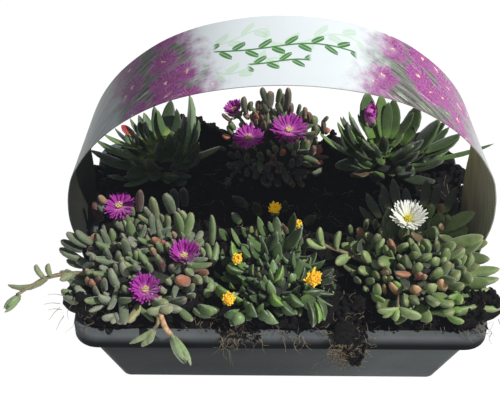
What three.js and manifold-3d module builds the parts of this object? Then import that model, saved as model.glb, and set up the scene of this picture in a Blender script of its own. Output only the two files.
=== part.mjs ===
// A six-cell tray of flowering trailing ice plants under an arched carry band.
// Millimetres, +Z up. The origin is at the middle of the tray's flat underside, and the front is at -Y.

import * as THREE from 'three';
import { mergeVertices } from 'three/addons/utils/BufferGeometryUtils.js';
import Module from 'manifold-3d';

const wasm = await Module();
wasm.setup();

// Driving dimensions of the tray
const RIM_HALF_X = 150;
const RIM_HALF_Y = 110;
const RIM_HEIGHT = 74;
const RIM_CORNER = 18;
const LIP_WIDTH = 7;
const LIP_THICKNESS = 1.6;
const LIP_ROUND = 2.6;
const SKIRT_DROP = 12.5;
const WALL_THICKNESS = 1.6;
const WALL_TAPER = 18;
const FLOOR_THICKNESS = 2;
const DIVIDER_X = 45;
const DIVIDER_HEIGHT = 63;
const DIVIDER_TOP_HALF = 1.5;
const DIVIDER_BASE_HALF = 2.6;
const CELL_CORNER = 9;
const DRAIN_RADIUS = 6;

// Driving dimensions of the carry band
const BAND_FRONT_Y = -41;
const BAND_BACK_Y = 25;
const BAND_THICKNESS = 0.8;
const BAND_END_HEIGHT = 60;
const BAND_SAG = 0.24;
const BAND_SAG_FROM = 200;

// The band from slot to crown: its half width at the back edge and at the front edge, and its height
const BAND_OUTLINE = [
  [145.7, 145.7, 76], [144.4, 150, 100], [144.4, 153.8, 120], [145, 154, 137], [143.6, 151.8, 153.5],
  [139.8, 146.9, 168.7], [129.3, 133, 191], [113, 113.4, 212.3], [88, 88, 233], [61, 61, 246.2],
  [30, 30, 254], [0, 0, 256.5],
];

// Clearances that keep neighbouring pieces apart
const SOIL_GAP = 0.4;
const SLOT_GAP = 0.4;
const LEAF_GAP = 0.5;
const OWN_SHARE = 0.55;

const GOLDEN_ANGLE = Math.PI * (3 - Math.sqrt(5));
const UP = vec(0, 0, 1);

function vec(x, y, z) {
  return new THREE.Vector3(x, y, z);
}

// The point that is a given share of the way between two values
function mix(a, b, share) {
  return a + (b - a) * share;
}

// A direction turned from one direction towards another by an angle
function turnedTo(from, to, angle) {
  return from.clone().multiplyScalar(Math.cos(angle)).addScaledVector(to, Math.sin(angle));
}

// Repeatable random numbers between 0 and 1
function seededDraw(seed) {
  let state = seed;
  return () => {
    state = (Math.imul(state, 1664525) + 1013904223) >>> 0;
    return state / 4294967296;
  };
}

// Solids and the joins between them

// One closed solid from points and triangles, turned outwards if its volume is negative
function closedSolid(points, triangles) {
  let volume = 0;
  for (const [a, b, c] of triangles) {
    volume += points[a].dot(points[b].clone().cross(points[c]));
  }
  const outward = volume > 0 ? triangles : triangles.map(([a, b, c]) => [a, c, b]);
  return new wasm.Manifold(new wasm.Mesh({
    numProp: 3,
    vertProperties: new Float32Array(points.flatMap((p) => [p.x, p.y, p.z])),
    triVerts: new Uint32Array(outward.flat()),
  }));
}

// A solid through rings of points, closed by a fan to one point at each end
function loft(rings, start, end) {
  const count = rings[0].length;
  const points = [start, ...rings.flat(), end];
  const finish = points.length - 1;
  const at = (ring, k) => 1 + ring * count + (k % count);
  const triangles = [];
  for (let k = 0; k < count; k++) {
    triangles.push([0, at(0, k + 1), at(0, k)]);
    triangles.push([finish, at(rings.length - 1, k), at(rings.length - 1, k + 1)]);
    for (let ring = 0; ring < rings.length - 1; ring++) {
      triangles.push([at(ring, k), at(ring, k + 1), at(ring + 1, k + 1)]);
      triangles.push([at(ring, k), at(ring + 1, k + 1), at(ring + 1, k)]);
    }
  }
  return closedSolid(points, triangles);
}

// A ring-shaped solid: each ring of points joins the next, and the last joins the first
function closedLoop(rings) {
  const count = rings[0].length;
  const at = (ring, k) => (ring % rings.length) * count + (k % count);
  const triangles = [];
  for (let ring = 0; ring < rings.length; ring++) {
    for (let k = 0; k < count; k++) {
      triangles.push([at(ring, k), at(ring, k + 1), at(ring + 1, k + 1)]);
      triangles.push([at(ring, k), at(ring + 1, k + 1), at(ring + 1, k)]);
    }
  }
  return closedSolid(rings.flat(), triangles);
}

function centreOf(ring) {
  return ring.reduce((sum, p) => sum.add(p), vec(0, 0, 0)).divideScalar(ring.length);
}

function flatLoft(rings) {
  return loft(rings, centreOf(rings[0]), centreOf(rings[rings.length - 1]));
}

function fromGeometry(geometry) {
  geometry.deleteAttribute('normal');
  geometry.deleteAttribute('uv');
  const merged = mergeVertices(geometry, 1e-3);
  return new wasm.Manifold(new wasm.Mesh({
    numProp: 3,
    vertProperties: new Float32Array(merged.attributes.position.array),
    triVerts: new Uint32Array(merged.index.array),
  }));
}

function join(solids) {
  return solids.reduce((sum, solid) => sum.add(solid));
}

function cut(solid, tools) {
  return tools.reduce((rest, tool) => rest.subtract(tool), solid);
}

// The largest of a solid's separate bodies, so that loose scraps and sealed hollows go
function mainBody(solid) {
  const bodies = solid.decompose();
  return bodies.reduce((best, body) => (body.volume() > best.volume() ? body : best));
}

// A vertical round post
function post(x, y, bottom, top, radius, sides) {
  const geometry = new THREE.CylinderGeometry(radius, radius, top - bottom, sides);
  geometry.rotateX(Math.PI / 2);
  geometry.translate(x, y, (bottom + top) / 2);
  return fromGeometry(geometry);
}

// An upright rectangle of points with rounded corners, at one height
function roundedRing(x0, x1, y0, y1, radius, z, steps) {
  const corners = [
    [x1 - radius, y1 - radius, 0],
    [x0 + radius, y1 - radius, 1],
    [x0 + radius, y0 + radius, 2],
    [x1 - radius, y0 + radius, 3],
  ];
  return corners.flatMap(([x, y, quarter]) => Array.from({ length: steps + 1 }, (_, step) => {
    const angle = (quarter + step / steps) * Math.PI / 2;
    return vec(x + radius * Math.cos(angle), y + radius * Math.sin(angle), z);
  }));
}

// The tray

const RIM_STEPS = 4;
const WALL_FOOT_CORNER = 6;
const CELL_STEPS = 2;
const WALL_TOP_X = RIM_HALF_X - LIP_WIDTH;
const WALL_TOP_Y = RIM_HALF_Y - LIP_WIDTH;
const SKIRT_BOTTOM = RIM_HEIGHT - SKIRT_DROP;
const WALL_STRAIGHT_FROM = SKIRT_BOTTOM - 4;

// How far the wall leans in at a height, from nothing under the lip to its full taper at the floor
function wallLean(z) {
  return WALL_TAPER * (1 - Math.min(z / WALL_STRAIGHT_FROM, 1));
}

function wallRing(z, inset) {
  const lean = wallLean(z) + inset;
  const x = WALL_TOP_X - lean;
  const y = WALL_TOP_Y - lean;
  const corner = mix(RIM_CORNER - LIP_WIDTH, WALL_FOOT_CORNER, wallLean(z) / WALL_TAPER) - inset;
  return roundedRing(-x, x, -y, y, corner, z, RIM_STEPS);
}

// The lip and skirt: a section given as offsets outwards from the rim, swept round the tray
function lipLoop(grow) {
  const section = [
    [-LIP_WIDTH - WALL_THICKNESS / 2, RIM_HEIGHT + grow],
    [-LIP_ROUND, RIM_HEIGHT + grow],
    [-LIP_ROUND * 0.3 + grow, RIM_HEIGHT - LIP_ROUND * 0.3],
    [grow, RIM_HEIGHT - LIP_ROUND],
    [grow, SKIRT_BOTTOM - grow],
    [-LIP_THICKNESS - grow, SKIRT_BOTTOM - grow],
    [-LIP_THICKNESS - grow, RIM_HEIGHT - LIP_ROUND],
    [-LIP_ROUND, RIM_HEIGHT - LIP_THICKNESS - grow],
    [-LIP_WIDTH - WALL_THICKNESS / 2, RIM_HEIGHT - LIP_THICKNESS - grow],
  ];
  return closedLoop(section.map(([offset, z]) => roundedRing(
    -RIM_HALF_X - offset, RIM_HALF_X + offset, -RIM_HALF_Y - offset, RIM_HALF_Y + offset,
    RIM_CORNER + offset, z, RIM_STEPS,
  )));
}

const COLUMNS = [
  { name: 'left', from: -Infinity, to: -DIVIDER_X },
  { name: 'centre', from: -DIVIDER_X, to: DIVIDER_X },
  { name: 'right', from: DIVIDER_X, to: Infinity },
];
const ROWS = [
  { name: 'front', from: -Infinity, to: 0 },
  { name: 'back', from: 0, to: Infinity },
];
const CELLS = ROWS.flatMap((row) => COLUMNS.map((column) => ({
  name: `${row.name}_${column.name}`, row, column,
})));

// One cell's hollow, from the floor to above the dividers
function cellHollow(cell, shrink) {
  const rings = [FLOOR_THICKNESS + shrink, WALL_STRAIGHT_FROM, DIVIDER_HEIGHT + 1].map((z) => {
    const half = mix(DIVIDER_BASE_HALF, DIVIDER_TOP_HALF, z / DIVIDER_HEIGHT) + shrink;
    const wallX = WALL_TOP_X - wallLean(z) - WALL_THICKNESS - shrink;
    const wallY = WALL_TOP_Y - wallLean(z) - WALL_THICKNESS - shrink;
    return roundedRing(
      Math.max(cell.column.from + half, -wallX), Math.min(cell.column.to - half, wallX),
      Math.max(cell.row.from + half, -wallY), Math.min(cell.row.to - half, wallY),
      CELL_CORNER, z, CELL_STEPS,
    );
  });
  return flatLoft(rings);
}

function cellMiddle(cell) {
  const wallX = WALL_TOP_X - WALL_TAPER;
  const wallY = WALL_TOP_Y - WALL_TAPER;
  return [
    (Math.max(cell.column.from, -wallX) + Math.min(cell.column.to, wallX)) / 2,
    (Math.max(cell.row.from, -wallY) + Math.min(cell.row.to, wallY)) / 2,
  ];
}

// The tray, or the space it needs when grown by a clearance
function traySolid(grow) {
  const outside = flatLoft([0, WALL_STRAIGHT_FROM, RIM_HEIGHT + grow].map((z) => wallRing(z, -grow)));
  const mouth = flatLoft([DIVIDER_HEIGHT + grow, RIM_HEIGHT + 2].map(
    (z) => wallRing(z, WALL_THICKNESS + grow),
  ));
  const hollows = CELLS.map((cell) => cellHollow(cell, grow));
  return cut(outside.add(lipLoop(grow)), [mouth, ...hollows]);
}

function drainHoles() {
  return CELLS.map((cell) => post(...cellMiddle(cell), -1, FLOOR_THICKNESS + 1, DRAIN_RADIUS, 8));
}

// The carry band: a smooth arch through its outline, with straight ends in the tray's slots

const ARCH_STEPS = 44;

// How far the band's crown lies lower at its front edge
function bandSag(z) {
  const over = Math.max(z - BAND_SAG_FROM, 0);
  return BAND_SAG * over ** 2 / (over + 14);
}

// The band's path at its back edge, or at its front edge when the share is 1
function bandPath(share) {
  const right = BAND_OUTLINE.map(([back, front, z]) => (
    vec(mix(back, front, share), z - bandSag(z) * share, 0)
  ));
  const left = right.slice(0, -1).reverse().map((p) => vec(-p.x, p.y, 0));
  const curve = new THREE.CatmullRomCurve3([...right, ...left], false, 'catmullrom');
  const arch = curve.getPoints(ARCH_STEPS).map((p) => [p.x, p.y]);
  return [[right[0].x, BAND_END_HEIGHT], ...arch, [-right[0].x, BAND_END_HEIGHT]];
}

// The two faces of the band at one edge, each as far out of its path as half its thickness
function bandFaces(share, y, half) {
  const path = bandPath(share);
  return path.map(([x, z], k) => {
    const [x0, z0] = path[Math.max(k - 1, 0)];
    const [x1, z1] = path[Math.min(k + 1, path.length - 1)];
    const length = Math.hypot(x1 - x0, z1 - z0);
    const [acrossX, acrossZ] = [(z1 - z0) / length * half, -(x1 - x0) / length * half];
    return [vec(x + acrossX, y, z + acrossZ), vec(x - acrossX, y, z - acrossZ)];
  });
}

// A strip between the band's two edges, or the space it needs when grown by a clearance. Its inner face
// is split along the same diagonals as its outer one, so that it stays as thick where it twists
function bandSolid(grow) {
  const half = BAND_THICKNESS / 2 + grow;
  const front = bandFaces(1, BAND_FRONT_Y - grow, half);
  const back = bandFaces(0, BAND_BACK_Y + grow, half);
  const rings = front.map((faces, k) => [faces[0], back[k][0], back[k][1], faces[1]]);
  const at = (ring, k) => ring * 4 + (k % 4);
  const last = rings.length - 1;
  const start = [at(0, 3), at(0, 2), at(0, 1), at(0, 0)];
  const end = [at(last, 0), at(last, 1), at(last, 2), at(last, 3)];
  const sides = rings.slice(1).flatMap((_, ring) => [0, 1, 2, 3].map((k) => {
    const corners = [at(ring, k), at(ring, k + 1), at(ring + 1, k + 1), at(ring + 1, k)];
    return k === 2 ? [...corners.slice(1), corners[0]] : corners;
  }));
  const triangles = [start, end, ...sides].flatMap(([a, b, c, d]) => [[a, b, c], [a, c, d]]);
  return closedSolid(rings.flat(), triangles);
}

// The band's half width at a height and a place along Y, for keeping leaves clear of it
function bandHalfWidth(y, z) {
  const share = Math.min(Math.max((BAND_BACK_Y - y) / (BAND_BACK_Y - BAND_FRONT_Y), 0), 1);
  const last = BAND_OUTLINE.length - 1;
  const next = BAND_OUTLINE.findIndex((row) => row[2] > z);
  const above = BAND_OUTLINE[next < 0 ? last : next];
  const below = BAND_OUTLINE[next < 0 ? last : Math.max(next - 1, 0)];
  const rise = above === below ? 0 : (z - below[2]) / (above[2] - below[2]);
  return mix(mix(below[0], below[1], share), mix(above[0], above[1], share), rise);
}

// The soil

const SOIL_TOP = 83;
const SOIL_EDGE = 77.5;
const SOIL_STEPS = 6;
const SOIL_CORNER = 26;
const SOIL_SPACE_BOTTOM = 40;

// Lumps on the soil: x, y, height and radius
const SOIL_LUMPS = [
  [-62, 100, 20, 13], [-82, 102, 26, 12], [-44, 98, 14, 12], [140, 72, 8, 14], [-150, -86, 7, 16],
  [148, -82, 8, 16], [30, -92, 4, 12], [58, -84, 5, 13], [-140, 60, 6, 14], [60, 104, 8, 16],
];

function bump(x, y, at) {
  const [cx, cy, height, radius] = at;
  return height * Math.exp(-((x - cx) ** 2 + (y - cy) ** 2) / (radius * radius));
}

// The soil's half width along X, which bulges over the rim at the front corners
function soilHalfX(y, side) {
  const front = side < 0 ? bump(0, y, [0, -86, 23, 26]) : bump(0, y, [0, -86, 25, 28]);
  return 138 + front + bump(0, y, [0, 76, 8, 26]);
}

function soilHalfY(x, side) {
  return side < 0 ? 100 + 3.5 * Math.sin(x / 21 + 1) : 103 + 3 * Math.sin(x / 17);
}

function soilHeight(x, y) {
  const edgeX = soilHalfX(y, Math.sign(x)) - Math.abs(x);
  const edgeY = soilHalfY(x, Math.sign(y)) - Math.abs(y);
  const inside = Math.min(Math.min(edgeX, edgeY) / 16, 1);
  const ripple = 2 * Math.sin(0.071 * x + 0.8) * Math.cos(0.083 * y - 0.4)
    + 1.5 * Math.sin(0.19 * x - 0.11 * y) + Math.cos(0.27 * y + 0.13 * x + 1.7);
  const lumps = SOIL_LUMPS.reduce((sum, lump) => sum + bump(x, y, lump), 0);
  return mix(SOIL_EDGE, SOIL_TOP + ripple, Math.sqrt(Math.max(inside, 0))) + lumps;
}

// A point of the soil's footprint, drawn in where it passes a rounded corner
function soilPoint(x, y, grow) {
  const limitX = soilHalfX(y, Math.sign(x)) - SOIL_CORNER;
  const limitY = soilHalfY(x, Math.sign(y)) - SOIL_CORNER;
  const overX = Math.abs(x) - limitX;
  const overY = Math.abs(y) - limitY;
  if (overX > 0 && overY > 0) {
    const pull = Math.max(overX, overY) / Math.hypot(overX, overY);
    const round = (limit, over) => limit + over * pull;
    return vec(Math.sign(x) * round(limitX, overX), Math.sign(y) * round(limitY, overY),
      soilHeight(x, y) + grow);
  }
  return vec(x, y, soilHeight(x, y) + grow);
}

// A block of soil over one cell's share of the tray, from a flat underside to the uneven top
function soilSlab(cell, bottom, grow) {
  const half = 0.3 - grow;
  const rows = [];
  for (let j = 0; j <= SOIL_STEPS; j++) {
    const row = [];
    for (let i = 0; i <= SOIL_STEPS; i++) {
      const y0 = cell.row.name === 'front' ? -soilHalfY(0, -1) : half;
      const y1 = cell.row.name === 'front' ? -half : soilHalfY(0, 1);
      const roughY = mix(y0, y1, j / SOIL_STEPS);
      const x0 = cell.column.name === 'left' ? -soilHalfX(roughY, -1) - grow : cell.column.from + half;
      const x1 = cell.column.name === 'right' ? soilHalfX(roughY, 1) + grow : cell.column.to - half;
      const x = mix(x0, x1, i / SOIL_STEPS);
      const front = cell.row.name === 'front' ? -soilHalfY(x, -1) - grow : half;
      const back = cell.row.name === 'front' ? -half : soilHalfY(x, 1) + grow;
      row.push(soilPoint(x, mix(front, back, j / SOIL_STEPS), grow));
    }
    rows.push(row);
  }
  return gridBlock(rows, bottom);
}

// A solid under a grid of points, with upright sides and a flat underside
function gridBlock(rows, bottom) {
  const count = rows.length;
  const width = rows[0].length;
  const top = rows.flat();
  const at = (j, i) => j * width + i;
  const rim = [];
  for (let i = 0; i < width - 1; i++) rim.push(at(0, i));
  for (let j = 0; j < count - 1; j++) rim.push(at(j, width - 1));
  for (let i = width - 1; i > 0; i--) rim.push(at(count - 1, i));
  for (let j = count - 1; j > 0; j--) rim.push(at(j, 0));
  const under = rim.map((index) => top[index].clone().setZ(bottom));
  const points = [...top, ...under, centreOf(under)];
  const triangles = [];
  for (let j = 0; j < count - 1; j++) {
    for (let i = 0; i < width - 1; i++) {
      triangles.push([at(j, i), at(j, i + 1), at(j + 1, i + 1)]);
      triangles.push([at(j, i), at(j + 1, i + 1), at(j + 1, i)]);
    }
  }
  for (let k = 0; k < rim.length; k++) {
    const next = (k + 1) % rim.length;
    const low = top.length + k;
    const lowNext = top.length + next;
    triangles.push([rim[next], rim[k], low], [rim[next], low, lowNext]);
    triangles.push([lowNext, low, points.length - 1]);
  }
  return closedSolid(points, triangles);
}

// The clump of soil and roots that hangs over the front rim: centre and radii of each ring
const CLUMP = [
  [47, -92, 77, 9, 6], [46, -104, 79.5, 10, 4.6], [43, -113.5, 77, 9, 3], [47, -114, 68, 7.5, 3],
  [46, -114.4, 61, 8.5, 3.4], [52, -114, 53, 5.5, 2.6], [53, -113.6, 45, 4.5, 2.2],
  [56, -113.4, 40, 1.5, 1.5],
];

function clumpSolid(grow) {
  const rings = CLUMP.map(([x, y, z, wide, deep], ring) => {
    const steep = Math.min(ring / 3, 1);
    return Array.from({ length: 8 }, (_, k) => {
      const angle = k * Math.PI / 4;
      const out = (deep + grow) * Math.sin(angle);
      return vec(x + (wide + grow) * Math.cos(angle), y - out * steep, z + out * (1 - steep));
    });
  });
  return flatLoft(rings);
}

// The space that the soil takes up, from below the deepest plant's core to its top, with a clearance
function soilSpaces() {
  return [...CELLS.map((cell) => soilSlab(cell, SOIL_SPACE_BOTTOM, SOIL_GAP)), clumpSolid(SOIL_GAP)];
}

// Leaves, petals and stems

// Stations along a leaf: the place from root to tip, and the share of its full section there
const LEAF_STATIONS = {
  finger: [[0.76, 1.05]],
  narrow: [[0.55, 1.1]],
  oval: [[0.68, 1.12]],
  lance: [[0.22, 0.9], [0.66, 0.92]],
  petal: [[0.62, 1]],
};

// The leaves that are three-cornered, flat above with a keel below; the others have four edges
const KEELED = ['finger', 'narrow', 'oval'];

// How much of a leaf's thickness lies above its centreline
const LEAF_UPPER_SHARE = { finger: 0.45, petal: 0.5, narrow: 0.3, oval: 0.45, lance: 0.16 };

function leafPoint(leaf, t) {
  return leaf.base.clone().lerp(leaf.tip, t).addScaledVector(leaf.bulge, 4 * t * (1 - t));
}

// A leaf from its root to its tip, with its section turned to its upper face
function leafSolid(leaf) {
  const upper = LEAF_UPPER_SHARE[leaf.kind] * leaf.thick;
  const lower = leaf.thick - upper;
  const rings = LEAF_STATIONS[leaf.kind].map(([t, share]) => {
    const along = leafPoint(leaf, t + 0.01).sub(leafPoint(leaf, t)).normalize();
    const side = along.clone().cross(leaf.face).normalize();
    const normal = side.clone().cross(along);
    const middle = leafPoint(leaf, t);
    const corner = (sideways, height) => middle.clone()
      .addScaledVector(side, sideways * leaf.width / 2 * share)
      .addScaledVector(normal, height * share);
    return KEELED.includes(leaf.kind)
      ? [corner(1, upper), corner(-1, upper), corner(0, -lower)]
      : [corner(1, 0), corner(0, upper), corner(-1, 0), corner(0, -lower)];
  });
  return loft(rings, leaf.base, leaf.tip);
}

// A round stem through points, each with its own radius
function stemSolid(points, radii, sides) {
  const rings = points.map((point, k) => {
    const along = points[Math.min(k + 1, points.length - 1)].clone()
      .sub(points[Math.max(k - 1, 0)]).normalize();
    const side = along.clone().cross(Math.abs(along.z) > 0.9 ? vec(1, 0, 0) : UP).normalize();
    const normal = side.clone().cross(along);
    return Array.from({ length: sides }, (_, n) => {
      const angle = n * 2 * Math.PI / sides;
      return point.clone().addScaledVector(turnedTo(side, normal, angle), radii[k]);
    });
  });
  return flatLoft(rings);
}

// Balls along a leaf that cover it from a third of its length to its tip
function leafBalls(leaf) {
  const steps = Math.max(5, Math.ceil(leaf.base.distanceTo(leaf.tip) / 4));
  return Array.from({ length: steps + 1 }, (_, k) => {
    const t = mix(0.3, 1, k / steps);
    const share = t < 0.8 ? 1 : mix(1, 0.35, (t - 0.8) / 0.2);
    return { at: leafPoint(leaf, t), radius: share * Math.max(leaf.width, leaf.thick) / 2 + 0.3 };
  });
}

// The blooms: where they are, the way they face, and their petals

const BLOOM_KINDS = {
  open: { count: 13, root: 2.8, width: 3.7, dish: 4.4, thick: 1 },
  brush: { count: 8, root: 2, width: 2.6, dish: 3.2, thick: 1.2 },
  tube: { count: 7, root: 3.2, width: 3.8, dish: 4.2, thick: 1.1 },
};

// Each bloom's cup is the angle in degrees that its petals rise from flat
const BLOOMS = [
  { name: 'magenta_left', plant: 'front_left', kind: 'open', colour: 'magenta',
    at: [-120.7, -17, 113.8], axis: [-0.08, -0.16, 0.98], petal: 10.8, cup: 8 },
  { name: 'magenta_cupped', plant: 'front_left', kind: 'open', colour: 'magenta',
    at: [-70.6, -63.7, 107.6], axis: [0.06, -0.12, 0.99], petal: 12, cup: 42 },
  { name: 'magenta_front', plant: 'front_left', kind: 'open', colour: 'magenta',
    at: [-97, -88.9, 99.6], axis: [0.06, -0.42, 0.9], petal: 11.4, cup: 34 },
  { name: 'magenta_middle', plant: 'back_centre', kind: 'open', colour: 'magenta',
    at: [-24.2, 56, 121.4], axis: [-0.08, -0.2, 0.98], petal: 11.4, cup: 16 },
  { name: 'magenta_right', plant: 'back_centre', kind: 'open', colour: 'magenta',
    at: [7.3, 59, 127.2], axis: [0.05, -0.2, 0.98], petal: 13.6, cup: 17 },
  { name: 'magenta_side', plant: 'back_centre', kind: 'open', colour: 'magenta',
    at: [-35, 84, 127], axis: [-0.45, 0.05, 0.89], petal: 8.6, cup: 42 },
  { name: 'magenta_bud', plant: 'back_right', kind: 'tube', colour: 'magenta',
    at: [73, 70, 129], axis: [0.02, -0.2, 0.98], petal: 14, cup: 78 },
  { name: 'white', plant: 'front_right', kind: 'open', colour: 'white',
    at: [93.1, -35, 120], axis: [-0.02, -0.38, 0.92], petal: 13, cup: 25 },
  { name: 'yellow_left', plant: 'front_centre', kind: 'brush', colour: 'yellow',
    at: [-32.4, -61.8, 104], axis: [0.1, -0.5, 0.86], petal: 4.8, cup: 62 },
  { name: 'yellow_front', plant: 'front_centre', kind: 'brush', colour: 'yellow',
    at: [-38.7, -91.1, 93.5], axis: [0.3, -0.6, 0.74], petal: 6.2, cup: 56 },
  { name: 'yellow_right', plant: 'front_centre', kind: 'brush', colour: 'yellow',
    at: [22.1, -79, 101], axis: [0.1, -0.5, 0.86], petal: 8, cup: 50 },
  { name: 'yellow_back', plant: 'front_centre', kind: 'brush', colour: 'yellow',
    at: [-3.8, -0.3, 96], axis: [0, -0.3, 0.95], petal: 6.6, cup: 62 },
  { name: 'yellow_bud', plant: 'front_centre', kind: 'brush', colour: 'yellow',
    at: [13.5, -16.1, 95], axis: [0.1, -0.3, 0.95], petal: 5, cup: 82 },
].map((bloom) => ({ ...bloom, ...BLOOM_KINDS[bloom.kind], at: vec(...bloom.at),
  axis: vec(...bloom.axis).normalize(), cup: bloom.cup * Math.PI / 180 }));

// Two directions across a bloom's axis
function across(axis) {
  const right = vec(1, 0, 0).addScaledVector(axis, -axis.x).normalize();
  return [right, axis.clone().cross(right)];
}

// A round form about a bloom's axis: rings given by radius and height, with a point at each end
function turned(bloom, profile, sides) {
  const [right, forward] = across(bloom.axis);
  const centre = (height) => bloom.at.clone().addScaledVector(bloom.axis, height);
  const rings = profile.map(([radius, height]) => Array.from({ length: sides }, (_, k) => {
    const angle = k * 2 * Math.PI / sides;
    return centre(height).addScaledVector(turnedTo(right, forward, angle), radius);
  }));
  return loft(rings, centre(profile[0][1]), centre(profile[profile.length - 1][1]));
}

const DISH_DEPTH = 1.2;
const DISH_TOP = 0.5;
const CENTRE_HEIGHT = 3;
const CENTRE_SHARE = 0.62;
const CENTRE_TOP_SHARE = 0.7;
const CENTRE_GAP = 0.35;
const PETAL_BOW = 0.04;

function centreSolid(bloom, grow) {
  const radius = bloom.dish * CENTRE_SHARE;
  const foot = DISH_TOP + CENTRE_GAP;
  return turned(bloom, [
    [radius + grow, foot - grow],
    [radius * CENTRE_TOP_SHARE + grow, foot + CENTRE_HEIGHT + grow],
  ], 7);
}

// Petals round a shallow dish, with room left for a centre of another colour
function petalSolid(bloom) {
  const [right, forward] = across(bloom.axis);
  const dish = turned(bloom, [[bloom.dish * 0.75, -DISH_DEPTH], [bloom.dish, DISH_TOP]], 9);
  const petals = Array.from({ length: bloom.count }, (_, k) => {
    const angle = (k + 0.5) * 2 * Math.PI / bloom.count;
    const radial = turnedTo(right, forward, angle);
    const rise = turnedTo(radial, bloom.axis, bloom.cup);
    const face = turnedTo(bloom.axis, radial, -bloom.cup);
    const base = bloom.at.clone().addScaledVector(radial, bloom.root);
    return leafSolid({
      kind: 'petal', base, tip: base.clone().addScaledVector(rise, bloom.petal),
      bulge: face.clone().multiplyScalar(-PETAL_BOW * bloom.petal), face,
      width: bloom.width, thick: bloom.thick,
    });
  });
  const whole = join([dish, ...petals]);
  return mainBody(bloom.kind === 'open' ? whole.subtract(centreSolid(bloom, CENTRE_GAP)) : whole);
}

const CALYX_GAP = 0.35;
const CALYX_DEPTH = 5;

// The green cup under a bloom, and the stalk down into its plant
function calyxAndStalk(bloom, plant) {
  const top = -DISH_DEPTH - CALYX_GAP;
  const cup = turned(bloom, [[bloom.dish * 0.8, top], [1.5, top - CALYX_DEPTH]], 6);
  const foot = bloom.at.clone().addScaledVector(bloom.axis, top - CALYX_DEPTH + 1.2);
  const toCore = plant.centre.clone().sub(foot);
  const reach = 1 - 0.8 / Math.max(toCore.clone().divide(plant.core).length(), 1);
  return [cup, stemSolid([foot, foot.clone().addScaledVector(toCore, reach)], [1.3, 1.6], 5)];
}

// The plants

// Mound plants: shoots over a dome, each with crossed pairs of leaves
const MOUNDS = {
  front_left: {
    centre: [-102, -56, 84], core: [40, 38, 24], shoots: 52, seed: 11, kind: 'finger', reach: 1.5,
    length: [20, 27], width: 5.6, thick: 5, splay: [1.05, 0.5], lift: 0.35,
  },
  back_centre: {
    centre: [-2, 72, 84], core: [28, 26, 43], shoots: 38, seed: 23, kind: 'finger', reach: 1.5,
    length: [17, 24], width: 5, thick: 4.6, splay: [0.9, 0.42], lift: 0.7,
  },
  front_centre: {
    centre: [-5, -58, 83], core: [31, 36, 16], shoots: 52, seed: 37, kind: 'narrow', reach: 1.5,
    length: [19, 26], width: 6, thick: 3.4, splay: [1.1, 0.55], lift: 0.5,
  },
  front_right: {
    centre: [98, -54, 84], core: [40, 40, 25], shoots: 48, seed: 53, kind: 'oval', reach: 1.5,
    length: [20, 26], width: 8.6, thick: 7, splay: [1, 0.5], lift: 0.3,
  },
};

// Long leaves of the rosettes: root, tip, width, and how far the middle sags outwards
const ROSETTES = {
  back_left: {
    centre: [-92, 62, 89], core: [12, 11, 8],
    leaves: [
      [-80, 62, -70.8, 66, 158, 9, 2], [-78, 60, -62, 62, 138, 9, 4], [-90, 66, -87, 85, 138, 8, 3],
      [-93, 66, -101, 85, 132, 9, 3], [-96, 66, -109, 80, 130, 9, 4], [-88, 60, -88, 56, 126, 7, 3],
      [-84, 58, -80, 54, 121, 7, 3], [-94, 58, -100, 52, 120, 7, 3], [-98, 62, -125, 75, 125, 10, 5],
      [-100, 60, -146, 70, 108, 9, 6], [-100, 58, -152, 58, 100, 9, 6], [-99, 56, -138, 46, 91, 10, 4],
      [-97, 54, -122, 36, 92, 10, 4], [-90, 53, -104, 30, 91, 9, 4], [-82, 54, -76, 33, 93, 9, 4],
      [-80, 58, -45, 60, 111, 10, 5], [-92, 70, -110, 98, 110, 9, 5], [-84, 72, -84, 100, 118, 9, 5],
      [-100, 66, -136, 88, 104, 9, 5], [-88, 62, -96, 66, 144, 7, 2],
    ],
  },
  back_right: {
    centre: [88, 62, 90], core: [13, 12, 8],
    leaves: [
      [76, 76, 69, 83, 151, 12, 3], [86, 71, 81, 80, 153, 10, 3], [88, 68, 91, 76, 148, 10, 3],
      [94, 66, 115, 76, 137, 12, 5], [96, 64, 127, 66, 135, 14, 6], [98, 60, 146, 62, 122, 13, 6],
      [98, 56, 171, 55, 118, 8, 7], [97, 58, 137, 50, 104, 13, 5], [90, 56, 104, 46, 121, 12, 4],
      [78, 62, 48, 70, 134, 8, 4], [76, 60, 33, 63, 121, 7, 4], [76, 56, 46, 42, 107, 10, 4],
      [82, 54, 76, 36, 105, 12, 4], [92, 54, 100, 30, 102, 11, 4], [98, 54, 124, 34, 98, 12, 4],
      [98, 66, 140, 86, 112, 11, 5], [88, 72, 96, 100, 116, 11, 5], [78, 70, 56, 96, 116, 10, 5],
      [84, 58, 84, 52, 126, 9, 3], [78, 60, 62, 50, 122, 7, 3], [92, 60, 112, 56, 128, 10, 4],
    ],
  },
};

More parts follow.
